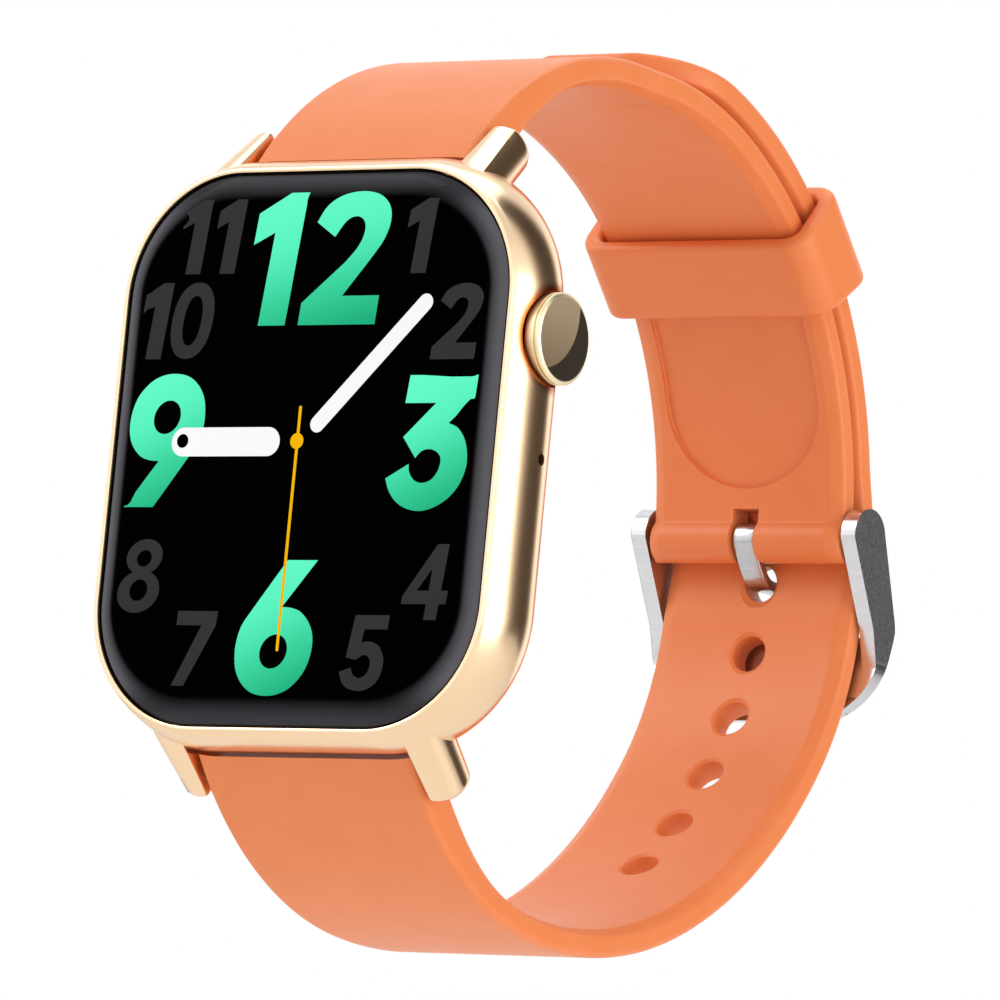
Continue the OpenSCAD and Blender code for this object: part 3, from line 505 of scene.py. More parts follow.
# Lengths run from the lug; the rim and its drop are the slope along the inner corners
strap = {"widthAtLugs": 19.8, "width": 18.0, "narrowLength": 48.0, "thickAtLugs": 3.5, "thick": 2.2,
         "lead": 3.2, "thinLength": 16.0, "edge": 0.6, "rim": 1.1, "rimDrop": 0.38, "caseRoom": 0.3,
         "swell": 0.7, "swellLength": 7.0, "tipRound": 8.0, "tipShare": 0.93, "tailShorter": 2.0}
upperRoute = {"start": (-6.66164, 22.0293, 56.2016), "stretches": [(28.2, 56.2016), (0, 4.2), (32.0, 90.0)]}
lowerRoute = {"start": (-6.6551, 22.0245, 56.4906),
              "stretches": [(27.0, 49.8906), (40.1694, 64.4), (26.4, 32.2), (0, 3.91624),
                            (34.45, 90.0), (0, 0.5)]}
pin = {"y": 51.9426, "z": 3.24241, "radius": 0.6, "bore": 0.65, "barrel": 1.83, "place": 88.1134,
       "rise": 0.7, "slotHalf": 1.2, "slotUp": 2.35}
bend = {"y": 20.9726, "z": 2.54241, "radius": 32.0}
holes = {"radius": 1.45, "sink": 1.75, "first": 84.9134, "pitch": 6.2, "below": 5, "above": 3}
barPlace = {"y": -3.4, "z": 23.45, "bore": 0.8}
recess = {"depth": 0.4, "half": 7.2, "endAngle": 9.0, "topAngle": 49.0, "soft": 0.12}


def routeAt(route, s):
    # Outer line of the strap: a chain of arcs (radius, turn) and straights (0, length); on an arc the
    # place moves by r (sin h0 - sin h, cos h - cos h0) while the heading h falls by s / r
    y, z, heading = route["start"]
    h = math.radians(heading)
    s = np.asarray(s, float)
    outY, outZ, outH = (np.empty_like(s) for _ in range(3))
    done = 0.0
    last = len(route["stretches"]) - 1
    for i, (radius, amount) in enumerate(route["stretches"]):
        length = radius * math.radians(amount) if radius else amount
        here = (s >= (done if i else -np.inf)) & (s <= (done + length if i < last else np.inf))
        l = s[here] - done
        inside = np.clip(l, 0, length) if radius else 0 * l
        turn = h - inside / (radius or 1)
        outY[here] = y + radius * (math.sin(h) - np.sin(turn)) + (l - inside) * np.cos(turn)
        outZ[here] = z - radius * (math.cos(h) - np.cos(turn)) + (l - inside) * np.sin(turn)
        outH[here] = turn
        endH = h - length / radius if radius else h
        straight = 0 if radius else length
        y += radius * (math.sin(h) - math.sin(endH)) + straight * math.cos(h)
        z -= radius * (math.cos(h) - math.cos(endH)) - straight * math.sin(h)
        h = endH
        done += length
    return outY, outZ, outH, done


def ease(x):
    # Smooth step from 0 to 1: 3 t^2 - 2 t^3
    t = np.clip(x, 0, 1)
    return t * t * (3 - 2 * t)


def halfWidth(s):
    # Half of a width that narrows evenly over the narrowing length
    narrowing = (strap["width"] - strap["widthAtLugs"]) * np.minimum(1, s / strap["narrowLength"])
    return (strap["widthAtLugs"] + narrowing) / 2


def thickness(s):
    # Thick up to the lead's end, then thinned by a smooth step
    thinning = ease((s - strap["lead"]) / strap["thinLength"])
    return strap["thickAtLugs"] + (strap["thick"] - strap["thickAtLugs"]) * thinning


def softMax(a, b, blend):
    # The larger value, rounded where they meet: (a + b + sqrt((a - b)^2 + blend^2)) / 2
    return 0.5 * (a + b + np.sqrt((a - b) ** 2 + blend ** 2))


def strapSection(count):
    # Closed section: across = f w + a, depth below the outer face = g t + b; rounded outer edges,
    # upright sides and a shallow slope along the inner edges
    e, rim, drop = strap["edge"], strap["rim"], strap["rimDrop"]
    turn = np.linspace(0, quarter, 7)[1:]
    face = np.linspace(0, 1, count)
    right = [(f, -f * e, 0, 0) for f in face]
    right += [(1, -e * (1 - math.sin(t)), 0, e * (1 - math.cos(t))) for t in turn]
    right += [(1, 0, 1, -drop - 0.32), (1, -0.03, 1, -drop - 0.16), (1, -0.13, 1, -drop - 0.03),
              (1, -0.3, 1, -drop + 0.06), (1, -rim + 0.12, 1, -0.06), (1, -rim, 1, -0.015)]
    right += [(f, -f * (rim + 0.1), 1, 0) for f in face[::-1]]
    left = [(-f, -a, g, b) for f, a, g, b in right[1:-1][::-1]]
    return np.array(right + left, float).T


def sweepStrap(name, route, s, half, outer, thick, side, count):
    # Section carried square to the route: point = line + (outer - depth) * outward normal
    f, a, g, b = strapSection(count)
    y, z, h, _ = routeAt(route, s)
    squeeze = np.minimum(1, thick / 1.7)[:, None]
    across = f * half[:, None] + a * squeeze
    lift = outer[:, None] - (g * thick[:, None] + b * squeeze)
    py = y[:, None] - lift * np.sin(h)[:, None]
    pz = side * (z[:, None] + lift * np.cos(h)[:, None])
    return gridObject(name, np.stack([across, py, pz], -1))


def caseOuterProfile(grow=0.0, steps=14):
    # (distance from the corner's axis, level) on two arcs, back edge and bulging side: centre +
    # radius * (cos t, sin t)
    top = math.asin((case["lip"] - case["wide"]) / (case["frontRound"] + grow))
    arcs = []
    for radius, t in ((case["backRound"], np.linspace(-quarter, 0, steps)),
                      (case["frontRound"], np.linspace(0, top, steps)[1:])):
        arcs.append(np.column_stack([case["outer"] - radius + (radius + grow) * np.cos(t),
                                     case["wide"] + (radius + grow) * np.sin(t)]))
    return np.vstack(arcs)


def caseBody(name, profile, solid=False):
    # Profile carried round the outline: place = centre + distance * direction, level along -y
    centres, ways = outline(case["cornerX"], case["cornerY"])
    reach, level = np.array(profile, float).T
    x, z = (centres[:, i, None] + ways[:, i, None] * reach for i in (0, 1))
    points = np.stack([x, -level + 0 * x, z], -1)
    return gridObject(name, points.transpose(1, 0, 2) if solid else points, not solid)


def fitEnd(made, side):
    # The strap's end follows the case's outline, and has the spring bar's bore
    carve(made, caseBody("caseRoom", caseOuterProfile(strap["caseRoom"]), solid=True))
    carve(made, rod("bore", -15, 15, barPlace["y"], side * barPlace["z"], barPlace["bore"]))


def onBend(across, radial, angle):
    # Points on the back bend: across the strap, and a radius at an angle about the bend's axis
    return np.stack([across, bend["y"] + radial * np.cos(angle), bend["z"] + radial * np.sin(angle)], -1)


def recessCutter():
    # U-shaped block on the back bend: its half width is that of a round end, then constant
    floorRadius = bend["radius"] - strap["thick"] + recess["depth"]
    length = math.radians(recess["topAngle"] - recess["endAngle"]) * bend["radius"]
    big = recess["half"]
    roundEnd = big * (1 - np.cos(np.linspace(0.02, quarter, 60)))
    s = np.concatenate([roundEnd, np.linspace(big, length, 40)[1:]])
    half = np.sqrt(np.maximum(big ** 2 - np.maximum(big - s, 0) ** 2, 0))[:, None]
    soft = np.minimum(recess["soft"], half)
    across = np.hstack([-half, -half, -half + soft, half - soft, half, half])
    sunk = np.array([1.5, recess["soft"], 0, 0, recess["soft"], 1.5])
    angle = math.radians(recess["endAngle"]) + s[:, None] / bend["radius"]
    return gridObject("recess", onBend(across, floorRadius - sunk + 0 * across, angle))


def cornerBox(name, low, high):
    points = [(x, y, z) for x in (low[0], high[0]) for y in (low[1], high[1]) for z in (low[2], high[2])]
    faces = [[0, 1, 3, 2], [4, 6, 7, 5], [0, 4, 5, 1], [2, 3, 7, 6], [0, 2, 6, 4], [1, 5, 7, 3]]
    return tidyMesh(meshObject(name, points, faces))


def makeUpperStrap():
    # Swept along its route up to the barrel, where both faces follow the circle sqrt(r^2 - d^2)
    middle = routeAt(upperRoute, [0.0])[3] - pin["rise"]
    s = np.concatenate([np.linspace(0, middle - 3.2, 170),
                        np.linspace(middle - 3.2, middle - pin["barrel"], 12)[1:-1],
                        middle - np.cos(np.linspace(0, np.pi, 60)) * pin["barrel"]])
    d = s - middle
    deep = bend["y"] + bend["radius"] - pin["y"]
    bulge = np.sqrt(np.maximum(pin["barrel"] ** 2 - d ** 2, 0))
    within = np.abs(d) < pin["barrel"]
    outer = np.where(d < 0, softMax(0 * d, bulge - deep, 0.12) - 0.004, bulge - deep)
    inner = np.where(d < 0, softMax(thickness(s), bulge + deep, 0.12), bulge + deep)
    outer = np.where(within, outer, 0)
    inner = np.where(within, inner, thickness(s))
    made = sweepStrap("upperStrap", upperRoute, s, halfWidth(s), outer, outer + inner, 1, 12)
    fitEnd(made, 1)
    half, y, z = pin["slotHalf"], pin["y"], pin["z"]
    carve(made, cornerBox("slot", (-half, y - 5, z - 5), (half, y + 5, z + pin["slotUp"])))
    carve(made, rod("pinBore", -15, 15, y, z, pin["bore"]))
    carve(made, recessCutter())
    put(tidyMesh(made), "case", "silicone", "upper_strap")


def holeDrill(place, swell):
    # Profile of (radius, height over the outer face) turned about the route's normal
    y, z, h, _ = routeAt(lowerRoute, [place])
    t = float(thickness(place))
    r, sink = holes["radius"], holes["sink"]
    profile = [(sink + 0.3, -t - 0.3), (sink, -t - 0.01), (r + 0.06, -t + 0.12), (r, -t + 0.3), (r, -0.3),
               (r + 0.06, -0.12), (sink, 0.01), (sink + 0.3, 0.3)]
    angle = np.linspace(0, 2 * np.pi, 56, endpoint=False)
    radius, lift = np.array(profile).T[:, :, None]
    lift = lift + swell
    along = radius * np.sin(angle)
    py = y[0] + along * math.cos(h[0]) - lift * math.sin(h[0])
    pz = z[0] + along * math.sin(h[0]) + lift * math.cos(h[0])
    return gridObject("drill", np.stack([radius * np.cos(angle), py, -pz], -1))


def makeLowerStrap():
    # Swept along its route; it swells by a raised cosine over the barrel, and the tip's half width
    # and thickness close along circles
    line = routeAt(lowerRoute, [0.0])[3] - strap["tailShorter"]
    radius = strap["tipRound"]
    tip = line - radius
    s = np.concatenate([np.linspace(0, tip, 330), tip + radius * np.sin(np.linspace(0, quarter, 40))[1:]])
    run = np.clip((s - tip) / radius, 0, 1)
    half = halfWidth(s) - radius * (1 - np.sqrt(1 - run ** 2)) * strap["tipShare"]
    pinch = 0.12 + 0.88 * np.sqrt(1 - (1 - np.clip((line - s) / 0.8, 0, 1)) ** 2)
    away = np.clip((s - pin["place"]) / strap["swellLength"], -1, 1)
    swell = strap["swell"] * (1 + np.cos(np.pi * away)) / 2
    thick = thickness(s)
    outer = swell - thick * (1 - pinch) / 2
    made = sweepStrap("lowerStrap", lowerRoute, s, half, outer, thick * pinch, -1, 20)
    places = holes["first"] + np.arange(-holes["below"], holes["above"] + 1) * holes["pitch"]
    carve(made, joined("drills", [holeDrill(place, np.interp(place, s, swell)) for place in places]))
    fitEnd(made, -1)
    put(tidyMesh(made), "case", "silicone", "lower_strap")


keeper = {"angle": 44.0, "inner": 29.6, "outer": 34.65, "half": 9.3, "wall": 1.3, "sideWall": 1.5,
          "width": 7.7, "corner": 0.9, "edge": 0.55}


def makeKeeper():
    # Rounded wall section carried round a rounded rectangle and bent with the strap
    k = keeper
    loop = roundedBar(k["wall"], k["width"], k["edge"], 6) + (k["wall"] / 2, 0)
    centres, ways = outline((k["outer"] - k["inner"]) / 2 - k["corner"], k["half"] - k["corner"], 14)
    out = k["corner"] + loop[:, 0] * (1 + (k["sideWall"] / k["wall"] - 1) * np.abs(ways[:, 1, None]))
    radial = (k["inner"] + k["outer"]) / 2 + centres[:, 0, None] + ways[:, 0, None] * out
    across = centres[:, 1, None] + ways[:, 1, None] * out
    angle = math.radians(k["angle"]) + loop[:, 1] / bend["radius"] + 0 * out
    put(gridObject("keeperLoop", onBend(across, radial, angle), True), "keeper_loop", "silicone", "keeper")


# The end plate lies between two circles about the centre; the arms run from the pin to it
buckle = {"armIn": 9.3, "armOut": 10.65, "armY": 52.6426, "armZ": 3.6424, "armRound": 2.25,
          "plateIn": 26.75, "plateOut": 28.1, "centreY": 29.0226, "centreZ": -1.3738,
          "top": -3.958, "low": -11.0, "corner": 5.5, "chamfer": 0.2}
tongue = {"width": 2.05, "thick": 0.8, "edge": 0.16, "loop": 1.04, "bendY": 53.3, "level": -0.0776,
          "outY": 57.8, "tipZ": -6.96, "lean": 5.0, "tipRun": 0.5}


def plateLine(radius, z):
    # Points (y, z) of the plate's circle of that radius
    return np.column_stack([buckle["centreY"] + np.sqrt(radius ** 2 - (z - buckle["centreZ"]) ** 2), z])


def extruded(name, loop, low, high, axis=0):
    # Closed loop carried straight along x (loop in y, z) or along y (loop in x, z)
    return gridObject(name, np.array([np.insert(loop, axis, level, axis=1) for level in (low, high)]))


def makeBuckle():
    # Plate between two circles, united with two arms of boss, neck and shoulder; round corners
    b = buckle
    t = np.radians(np.linspace(14, 188, 40))
    boss = np.column_stack([b["armY"] + b["armRound"] * np.cos(t), b["armZ"] + b["armRound"] * np.sin(t)])
    neck = plateLine(b["plateIn"], np.array([b["top"]])) + (-1.3, 0.5)
    shoulder = plateLine(b["plateOut"], np.full(3, b["top"])) + [(0.42, -0.1), (0.56, 0.7), (0.42, 1.4)]
    arm = np.vstack([boss, neck, plateLine(b["plateIn"], np.linspace(b["top"] - 2.5, b["low"], 16)),
                     plateLine(b["plateOut"], np.linspace(b["low"], b["top"] - 4, 12)), shoulder])
    z = np.linspace(b["top"], b["low"], 40)
    plate = np.vstack([plateLine(b["plateIn"], z), plateLine(b["plateOut"], z)[::-1]])
    made = extruded("buckleFrame", plate, -b["armOut"], b["armOut"])
    carve(made, extruded("armRight", arm, b["armIn"], b["armOut"]), "UNION")
    carve(made, extruded("armLeft", arm, -b["armOut"], -b["armIn"]), "UNION")
    r, w = b["corner"], b["armOut"]
    turn = np.linspace(0, quarter, 20)
    corners = np.vstack([np.column_stack([-w + r - r * np.cos(turn), b["low"] + r - r * np.sin(turn)]),
                         np.column_stack([w - r + r * np.sin(turn), b["low"] + r - r * np.cos(turn)]),
                         [(w, 20), (-w, 20)]])
    carve(made, extruded("corners", corners, 30, 80, 1), "INTERSECT")
    tidyMesh(made, 30, 0.01)
    applied(made, "BEVEL", width=b["chamfer"] * mm, segments=2, limit_method="ANGLE",
            angle_limit=math.radians(40))
    put(tidyMesh(made, 30, 0.004), "frame", "buckle_steel", "buckle_frame")
    reach = b["armIn"] - 0.03
    bar = rod("bucklePin", -reach, reach, pin["y"], pin["z"], pin["radius"], 48, 0.05)
    put(bar, "case", "steel", "buckle_pin")


def unit(vector):
    return vector / np.linalg.norm(vector, axis=-1, keepdims=True)


def makeTongue():
    # Rounded section carried along a path: round the pin, slanting to the hole, level through it and
    # down over the plate, with a parabola at each corner
    g = tongue
    t = np.radians(np.linspace(-75, 218, 60))
    loop = np.column_stack([pin["y"] + g["loop"] * np.cos(t), pin["z"] + g["loop"] * np.sin(t)])
    fall = g["level"] + 0.12 - g["tipZ"]
    tip = np.array([g["outY"] - fall * math.tan(math.radians(g["lean"])), g["tipZ"] - 0.3])
    corners = np.array([loop[-1], (g["bendY"], g["level"]), (g["outY"], g["level"]), tip])
    k = np.linspace(0, 1, 14)[:, None]
    path = [loop]
    for i, cut in ((1, 1.0), (2, 1.2)):
        c = corners[i]
        start, end = (c + unit(corners[j] - c) * cut for j in (i - 1, i + 1))
        path.append(start * (1 - k) ** 2 + 2 * c * k * (1 - k) + end * k ** 2)
    run = g["tipRun"] * (1 - np.sin(np.linspace(0, quarter, 8)))[:, None]
    path.append(tip - unit(tip - path[-1][-1]) * run)
    path = np.vstack(path)
    along = unit(np.gradient(path, axis=0))
    normal = np.column_stack([-along[:, 1], along[:, 0]])
    near = np.zeros(len(path))
    near[-8:] = np.clip(1 - np.linalg.norm(path[-8:] - tip, axis=1) / g["tipRun"], 0, 1)
    shrink = np.sqrt(1 - 0.96 * near ** 2)[:, None]
    section = roundedBar(g["width"], g["thick"], g["edge"], 4)
    across = section[:, 0] * (1 - (1 - shrink) * 0.4)
    off = section[:, 1] * shrink
    points = np.stack([across] + [path[:, i, None] + normal[:, i, None] * off for i in (0, 1)], -1)
    made = gridObject("buckleTongue", points, angle=40)
    put(made, "tongue", "buckle_steel", "buckle_tongue", look=materials["tongue_steel"])


# Each lug leans back by the angle; its section is a D with a flat front
lug = {"gap": 20.4, "lean": 48.4, "root": 2.9, "tip": 2.4, "front": 1.9, "end": 1.3, "length": 6.0,
       "round": 0.35, "tipRun": 0.5}


def makeLug(sideX, sideZ):
    # D-shaped section carried along the leaning axis: (y, z) = bar + deep * (cos lean, -sin lean) +
    # along * (sin lean, cos lean), drawn in at the tip
    run = lug["tipRun"]
    start = lug["end"] - run
    along = np.concatenate([np.linspace(-lug["length"], start, 24),
                            start + run * np.sin(np.linspace(0, quarter, 8))[1:]])[:, None]
    big = lug["root"] + (lug["tip"] - lug["root"]) * (along + lug["length"]) / (lug["length"] + lug["end"])
    near = np.clip((along - start) / run, 0, 1)
    keep = 1 - (1 - np.sqrt(1 - near ** 2 * 0.98)) / 3
    front, r, flat = -lug["front"], lug["round"], 0 * big
    first = np.arcsin(front / big)
    edge = big * np.cos(first)
    arc = np.linspace(first[:, 0] + 0.22, quarter - 0.12, 26, axis=1)
    across = np.hstack([flat, flat + 0.05, flat + 0.16, flat + r, edge - 0.75, edge - 0.38,
                        big * np.cos(arc), flat + r, flat + 0.12, flat])
    deep = np.hstack([flat + front + r, flat + front + 0.16, flat + front + 0.05, flat + front, flat + front,
                      flat + front + 0.07, big * np.sin(arc), big - 0.03, big - 0.1, big - 0.3])
    across = big * 0.45 * (1 - keep) + across * keep
    deep = (big + front) / 2 * (1 - keep) + deep * keep
    lean = math.radians(lug["lean"])
    y = barPlace["y"] + deep * math.cos(lean) + along * math.sin(lean)
    z = barPlace["z"] - deep * math.sin(lean) + along * math.cos(lean)
    return gridObject("lug", np.stack([sideX * (lug["gap"] / 2 + across), y, sideZ * z], -1), angle=50)


def fullCaseProfile():
    # The outer profile, over the lip's softened edges, down the glass's seat and into the opening
    e, lip, glassRound = case["lipEdge"], case["lip"], case["glassRound"]
    seat = glassRound + 0.05
    outer = caseOuterProfile().tolist()
    tipX, tipZ = outer.pop()
    ledge, mouth = glassRound - case["ledge"], glassRound - case["mouth"]
    return outer + [(tipX - 0.01, tipZ - e), (tipX - e * 0.6, tipZ - e * 0.2), (tipX - e * 1.5, tipZ),
                    (seat + e, lip), (seat + e * 0.3, lip - e * 0.3), (seat, lip - e),
                    (seat, case["ledgeLevel"]), (ledge, case["ledgeLevel"]), (ledge, case["floor"]),
                    (mouth, case["floor"]), (mouth, case["back"])]


crown = {"radius": 3.45, "face": 19.75, "back": 18.35, "floor": 17.85, "dome": 0.1}
openings = {"y": -5.9, "radius": 0.45, "micZ": -0.2, "soundZ": -3.6, "soundPitch": 1.6}


def makeCase():
    # The profile's ring with its lugs, less round cutters: strap room, spring bars, crown, sound
    made = caseBody("caseFrame", fullCaseProfile())
    sides = [(x, z) for x in (-1, 1) for z in (-1, 1)]
    for side in sides:
        carve(made, makeLug(*side), "UNION")
    y, z, half = barPlace["y"], barPlace["z"], lug["gap"] / 2
    tools = [rod("strapRoom", -half, half, y, k * z, 2.05, 96) for k in (-1, 1)]
    tools += [rod("tipHole", x * 10.0, x * 11.15, y, k * z, 0.44, 32) for x, k in sides]
    tools.append(turned("crownRoom", [(2.0, crown["floor"]), (3.6, crown["floor"]), (3.6, 18.3), (3.68, 24)],
                        *crownAxis, 160))
    tools.append(rod("stemHole", 12.5, 18.0, *crownAxis, 1.45, 48))
    r = openings["radius"]
    funnel = [(r, 12), (r, 18.4), (r + 0.05, 24)]
    tools.append(turned("mic", funnel, openings["y"], openings["micZ"], 48))
    for k in range(-2, 3):
        tools.append(turned("sound", [(radius, -x) for radius, x in funnel], openings["y"],
                            openings["soundZ"] + openings["soundPitch"] * k, 40))
    for tool in tools:
        carve(made, tool)
    put(tidyMesh(made, 32), "case", "case_metal", "case_frame")


def makeCrown():
    # Turned profile: back, grooved rim and a face domed by d (radius / r)^2
    r, f, b = crown["radius"], crown["face"], crown["back"]
    radii = np.array([3.12, 3.0, 2.7, 2.3, 1.8, 1.2, 0.6, 0.0005])
    face = np.column_stack([radii, f - crown["dome"] * (radii / r) ** 2])
    top = face[0, 1]
    rim = [(0.0005, b + 0.7), (0.8, b + 0.7), (0.8, b), (r - 0.22, b), (r - 0.06, b + 0.06), (r, b + 0.22),
           (r, f - 0.62), (r - 0.03, f - 0.58), (r - 0.15, f - 0.56), (r - 0.15, f - 0.46),
           (r - 0.03, f - 0.44), (r, f - 0.4), (r, f - 0.3), (r - 0.05, f - 0.22), (3.22, top),
           (3.17, top + 0.015)]
    made = tidyMesh(turned("crownCap", np.vstack([rim, face]), *crownAxis, 160), 28)
    put(made, "crown", "crown_metal", "crown_cap")


glass = {"curve": 2.4, "drop": 0.75, "edge": 0.08}
glassArc = (glass["curve"] ** 2 + glass["drop"] ** 2) / (2 * glass["drop"])    # radius of its margin


def glassLevel(x, z):
    # Level of the glass: flat, then an arc that falls by the drop over the curved margin
    reach = np.hypot(np.maximum(np.abs(x) - case["cornerX"], 0), np.maximum(np.abs(z) - case["cornerY"], 0))
    past = np.clip(reach - (case["glassRound"] - glass["curve"]), 0, glass["curve"])
    return case["glassTop"] - glassArc + np.sqrt(glassArc ** 2 - past ** 2)


def makeGlass():
    # The same arc carried round the outline, then down the side with softened edges
    rim, low, e = case["glassRound"], case["glassBottom"], glass["edge"]
    t = np.linspace(0, math.asin(glass["curve"] / glassArc), 16)
    margin = np.column_stack([rim - glass["curve"] + glassArc * np.sin(t),
                              case["glassTop"] - glassArc + glassArc * np.cos(t)])
    profile = np.vstack([margin, [(rim, margin[-1, 1] - e), (rim, low + e), (rim - e, low)]])
    made = tidyMesh(caseBody("frontGlass", profile, solid=True), 40)
    put(made, "case", "front_glass", "front_glass")


def arcLoop(cx, cy, rx, ry, power=2.0, count=44):
    # Ellipse, or a squarer oval for a higher power: x = rx |cos t|^(2/power), y likewise with sin t
    t = np.linspace(0, 2 * np.pi, count, endpoint=False)
    way = np.column_stack([np.cos(t), np.sin(t)])
    return (cx, cy) + (rx, ry) * np.sign(way) * np.abs(way) ** (2 / power)


def spans(*parts, fine=6):
    # Closed outline of spans that meet in corners; a span of three or more points is a smooth curve
    # through them: b + ((c - a) t + (2a - 5b + 4c - d) t^2 + (3b - a - 3c + d) t^3) / 2
    out = []
    t = np.linspace(0, 1, fine, endpoint=False)[:, None]
    for part in parts:
        p = np.array(part, float)
        if len(p) > 2:
            p = np.vstack([2 * p[0] - p[1], p, 2 * p[-1] - p[-2]])
            a, b, c, d = (p[i:len(p) - 3 + i, None] for i in range(4))
            curve = (2 * a - 5 * b + 4 * c - d) * t ** 2 + (3 * b - a - 3 * c + d) * t ** 3
            p = np.vstack([(b + ((c - a) * t + curve) / 2).reshape(-1, 2), p[-2]])
        out.append(p)
    return np.vstack(out)


def figures():
    # Each figure in a box of height 1000: its width, its solid loops and the loops cut out of them
    nine = (687, [spans([(337, 345), (241, 354), (152, 387), (60, 473), (10, 579), (3, 703), (40, 830),
            (128, 935), (235, 988), (352, 1000), (470, 978), (572, 912), (645, 815), (680, 700), (687, 598),
            (666, 483), (599, 368)], [(363, 0), (93, 0)])], [arcLoop(340, 674, 121, 126)])
    six = (nine[0], [[nine[0], 1000] - loop for loop in nine[1]], [[nine[0], 1000] - loop for loop in
            nine[2]])
    one = [(420, 0), (420, 1000), (257, 1000), (0, 846), (0, 610), (176, 700), (176, 0)]
    return {
        "0": (650, [arcLoop(325, 500, 325, 500, 2.25)], [arcLoop(325, 500, 140, 325, 2.25)]),
        "1": (420, [np.array(one)], []),
        "2": (698, [spans([(8, 772), (75, 892), (200, 972), (372, 1000), (535, 970), (640, 885), (672, 765),
                (640, 630), (560, 500)], [(357, 216), (691, 216)], [(698, 0), (4, 0)], [(0, 166), (330, 470)],
                [(330, 470), (413, 574), (450, 665), (448, 745), (410, 795), (346, 811), (270, 775),
                (193, 659)])], []),
        "3": (693, [spans([(53, 794), (52, 1000)], [(649, 1000), (657, 832)], [(469, 645), (560, 608),
                (640, 520), (686, 398), (690, 286), (652, 174), (570, 80), (455, 19), (347, 0), (230, 19),
                (128, 71), (50, 150), (1, 239)], [(184, 346), (202, 286), (258, 226), (335, 206), (412, 234),
                (455, 305), (455, 389), (402, 439), (336, 454), (276, 439), (231, 389)],
                [(91, 544), (327, 794)])], []),
        "4": (710, [np.array([(415, 1000), (600, 1000), (600, 386), (710, 386), (710, 208), (600, 208),
                (600, 0), (400, 0), (400, 208), (0, 208), (0, 310)])], [np.array([(400, 680), (400, 386),
                (215, 386)])]),
        "5": (680, [spans([(65, 440), (98, 1000)], [(641, 1000), (649, 813)], [(283, 813), (270, 640)],
                [(270, 640), (411, 650), (560, 590), (655, 460), (680, 330), (655, 180), (560, 60), (390, 0),
                (200, 25), (75, 110), (0, 250)], [(177, 307), (225, 215), (332, 170), (430, 215), (470, 325),
                (440, 430), (345, 475), (227, 407)])], []),
        "6": six,
        "7": (660, [np.array([(0, 1000), (655, 1000), (660, 810), (310, 0), (108, 0), (426, 810),
                (16, 810)])], []),
        "8": (690, [arcLoop(345, 760, 295, 240), arcLoop(345, 290, 345, 290)], [arcLoop(345, 738, 120, 112),
                arcLoop(345, 308, 145, 145)]),
        "9": nine,
    }


# Places on the glass (x, z) of each figure's lower left corner, and its height
dial = {"slant": 0.113, "lift": 0.012, "space": {"12": 115, "11": 140, "10": 75}, "faint": 0.06,
        "large": {"12": (-6.57, 9.24, 10.12), "3": (7.96, -4.82, 10.19), "6": (-4.35, -18.73, 10.21),
                  "9": (-16.57, -4.52, 10.16)},
        "small": {"11": (-13.01, 13.25, 5.68), "1": (7.71, 13.05, 5.67), "10": (-16.0, 6.78, 5.83),
                  "2": (11.19, 6.54, 5.71), "8": (-15.59, -12.58, 5.62), "4": (10.6, -12.94, 5.65),
                  "7": (-10.18, -18.06, 5.66), "5": (5.58, -18.27, 5.66)},
        "hour": ((-10.6, 0.43), (-2.8, 0.43), 1.1), "minute": ((1.6, 1.75), (10.4, 10.85), 0.65),
        "second": ((-0.08, 3.0), (-0.08, -15.26), 0.13), "hub": (-0.13, 0.47, 0.6, 0.6),
        "dot": (-10.68, 0.51, 0.53, 0.53), "green": ["69ffcf", "5cf7c3", "3fd9a2", "22b37f"],
        "grey": ["37373a", "353538"], "white": ["ffffff", "fafafa"], "golden": ["fdc012", "f6b40a"],
        "black": ["000000", "050505"]}


def inLoop(points, loop):
    # Crossing-number test of points against a closed loop
    x, y = points.T[:, :, None]
    (x0, y0), (x1, y1) = loop.T, np.roll(loop, -1, 0).T
    slope = (x1 - x0) / np.where(y1 == y0, 1e-9, y1 - y0)
    crosses = ((y0 > y) != (y1 > y)) & (x < x0 + slope * (y - y0))
    return crosses.sum(1) % 2 == 1


def flatShape(name, solids, cuts, lift, look, fade):
    # Flat figure on the glass: triangles between all loops, kept inside a solid and outside the cuts
    edges, start = [], 0
    for loop in solids + cuts:
        edges += [(start + i, start + (i + 1) % len(loop)) for i in range(len(loop))]
        start += len(loop)
    points = np.vstack(solids + cuts)
    x, z = np.meshgrid(*(np.arange(low, high, 0.5) + nudge for low, high, nudge
                         in zip(points.min(0), points.max(0), (0.017, 0.013))))
    points = np.vstack([points, np.column_stack([x.ravel(), z.ravel()])])
    made = delaunay_2d_cdt([Vector(p) for p in points.tolist()], edges, [], 0, 1e-6)
    places = np.array([tuple(v) for v in made[0]])
    faces = np.array([f for f in made[2] if len(f) == 3])
    centres = places[faces].mean(1)
    keep = np.any([inLoop(centres, loop) for loop in solids], axis=0)
    for loop in cuts:
        keep &= ~inLoop(centres, loop)
    used, faces = np.unique(faces[keep], return_inverse=True)
    places, faces = places[used], faces.reshape(-1, 3)
    one, two = (places[faces[:, i]] - places[faces[:, 0]] for i in (1, 2))
    inward = one[:, 1] * two[:, 0] > one[:, 0] * two[:, 1]
    faces[inward] = faces[inward, ::-1]
    level = -glassLevel(*places.T) - lift
    shape = meshObject(name, np.column_stack([places[:, 0], level, places[:, 1]]), faces.tolist())
    uv = shape.data.uv_layers.new(name="fade")
    corners = np.empty(len(shape.data.loops), int)
    shape.data.loops.foreach_get("vertex_index", corners)
    uv.data.foreach_set("uv", np.column_stack([fade(places)[corners], 0.5 + 0 * corners]).ravel())
    put(shape, "case", "display", look=look)


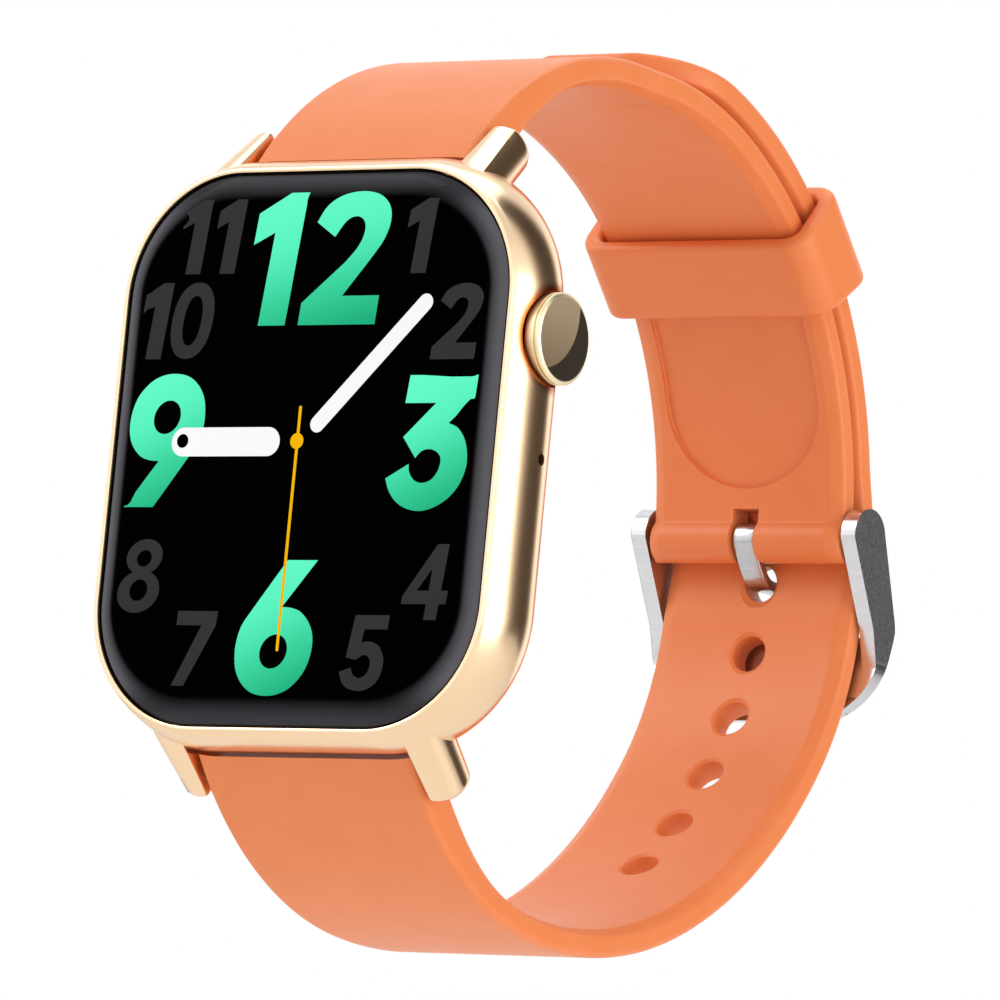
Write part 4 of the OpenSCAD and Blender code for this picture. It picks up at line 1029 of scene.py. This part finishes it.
def capsule(start, end, radius, count=24):
    # Outline of a bar with round ends: half a circle about each end
    a, b = np.array(start), np.array(end)
    t = np.linspace(-quarter, quarter, count) + math.atan2(b[1] - a[1], b[0] - a[0])
    way = radius * np.column_stack([np.cos(t), np.sin(t)])
    return np.vstack([b + way, a - way])


def glow(name, colours):
    # Lit figure: its colour runs along the fade coordinate, with a faint pixel grain
    sheet, place = newSheet(name)
    along = sheet.axes(sheet.add("UVMap", {"uv_map": "fade"}))[0]
    stops = [(i / (len(colours) - 1), rgb(colour)) for i, colour in enumerate(colours)]
    ramp = sheet.add("ValToRGB", {"stops": stops}, {0: along})
    colour = sheet.mix(sheet.noise(place, 12.0, 2.0) * dial["faint"], ramp, (0, 0, 0, 1))
    return sheet.finish((0, 0, 0, 1), 0.3, gloss=0.0, glowLevel=1.0, glow=colour)


def makeDial():
    # Each figure's loops, scaled to its height and slanted: x + slant * z
    shapes = figures()
    looks = {"large": glow("figureGreen", dial["green"]), "small": glow("figureGrey", dial["grey"])}
    for size, look in looks.items():
        for label, (x0, z0, height) in dial[size].items():
            solids, cuts, x = [], [], 0.0
            for mark in label:
                width, solid, cut = shapes[mark]
                for loops, out in ((solid, solids), (cut, cuts)):
                    for loop in loops:
                        px, pz = ((loop + [x, 0]) * height / 1000).T
                        out.append(np.column_stack([x0 + px + dial["slant"] * pz, z0 + pz]))
                x += width + dial["space"].get(label, 0)

            def fade(p):
                # bright at the upper left, deep at the lower right
                down = (z0 + height - p[:, 1]) / height
                right = (p[:, 0] - x0) / (x * height / 1000)
                return np.clip(0.92 * down + 0.3 * right - 0.14, 0, 1)

            flatShape("figure" + label, solids, cuts, dial["lift"], look, fade)
    white, golden, black = (glow("hand" + tone.title(), dial[tone]) for tone in ("white", "golden", "black"))
    for name, loops, rise, look in (
            ("hourHand", [capsule(*dial["hour"])], 0.01, white),
            ("minuteHand", [capsule(*dial["minute"])], 0.01, white),
            ("hourDot", [arcLoop(*dial["dot"])], 0.02, black),
            ("secondHand", [capsule(*dial["second"]), arcLoop(*dial["hub"])], 0.02, golden)):
        flatShape(name, loops, [], dial["lift"] + rise, look, lambda p: np.clip(0.5 + p[:, 0] / 40, 0, 1))


print("shapes are ready")
makeUpperStrap()
makeLowerStrap()
makeKeeper()
makeBuckle()
makeTongue()
print("strap is ready")
makeCase()
makeGlass()
makeDial()
makeCrown()
print("case is ready")
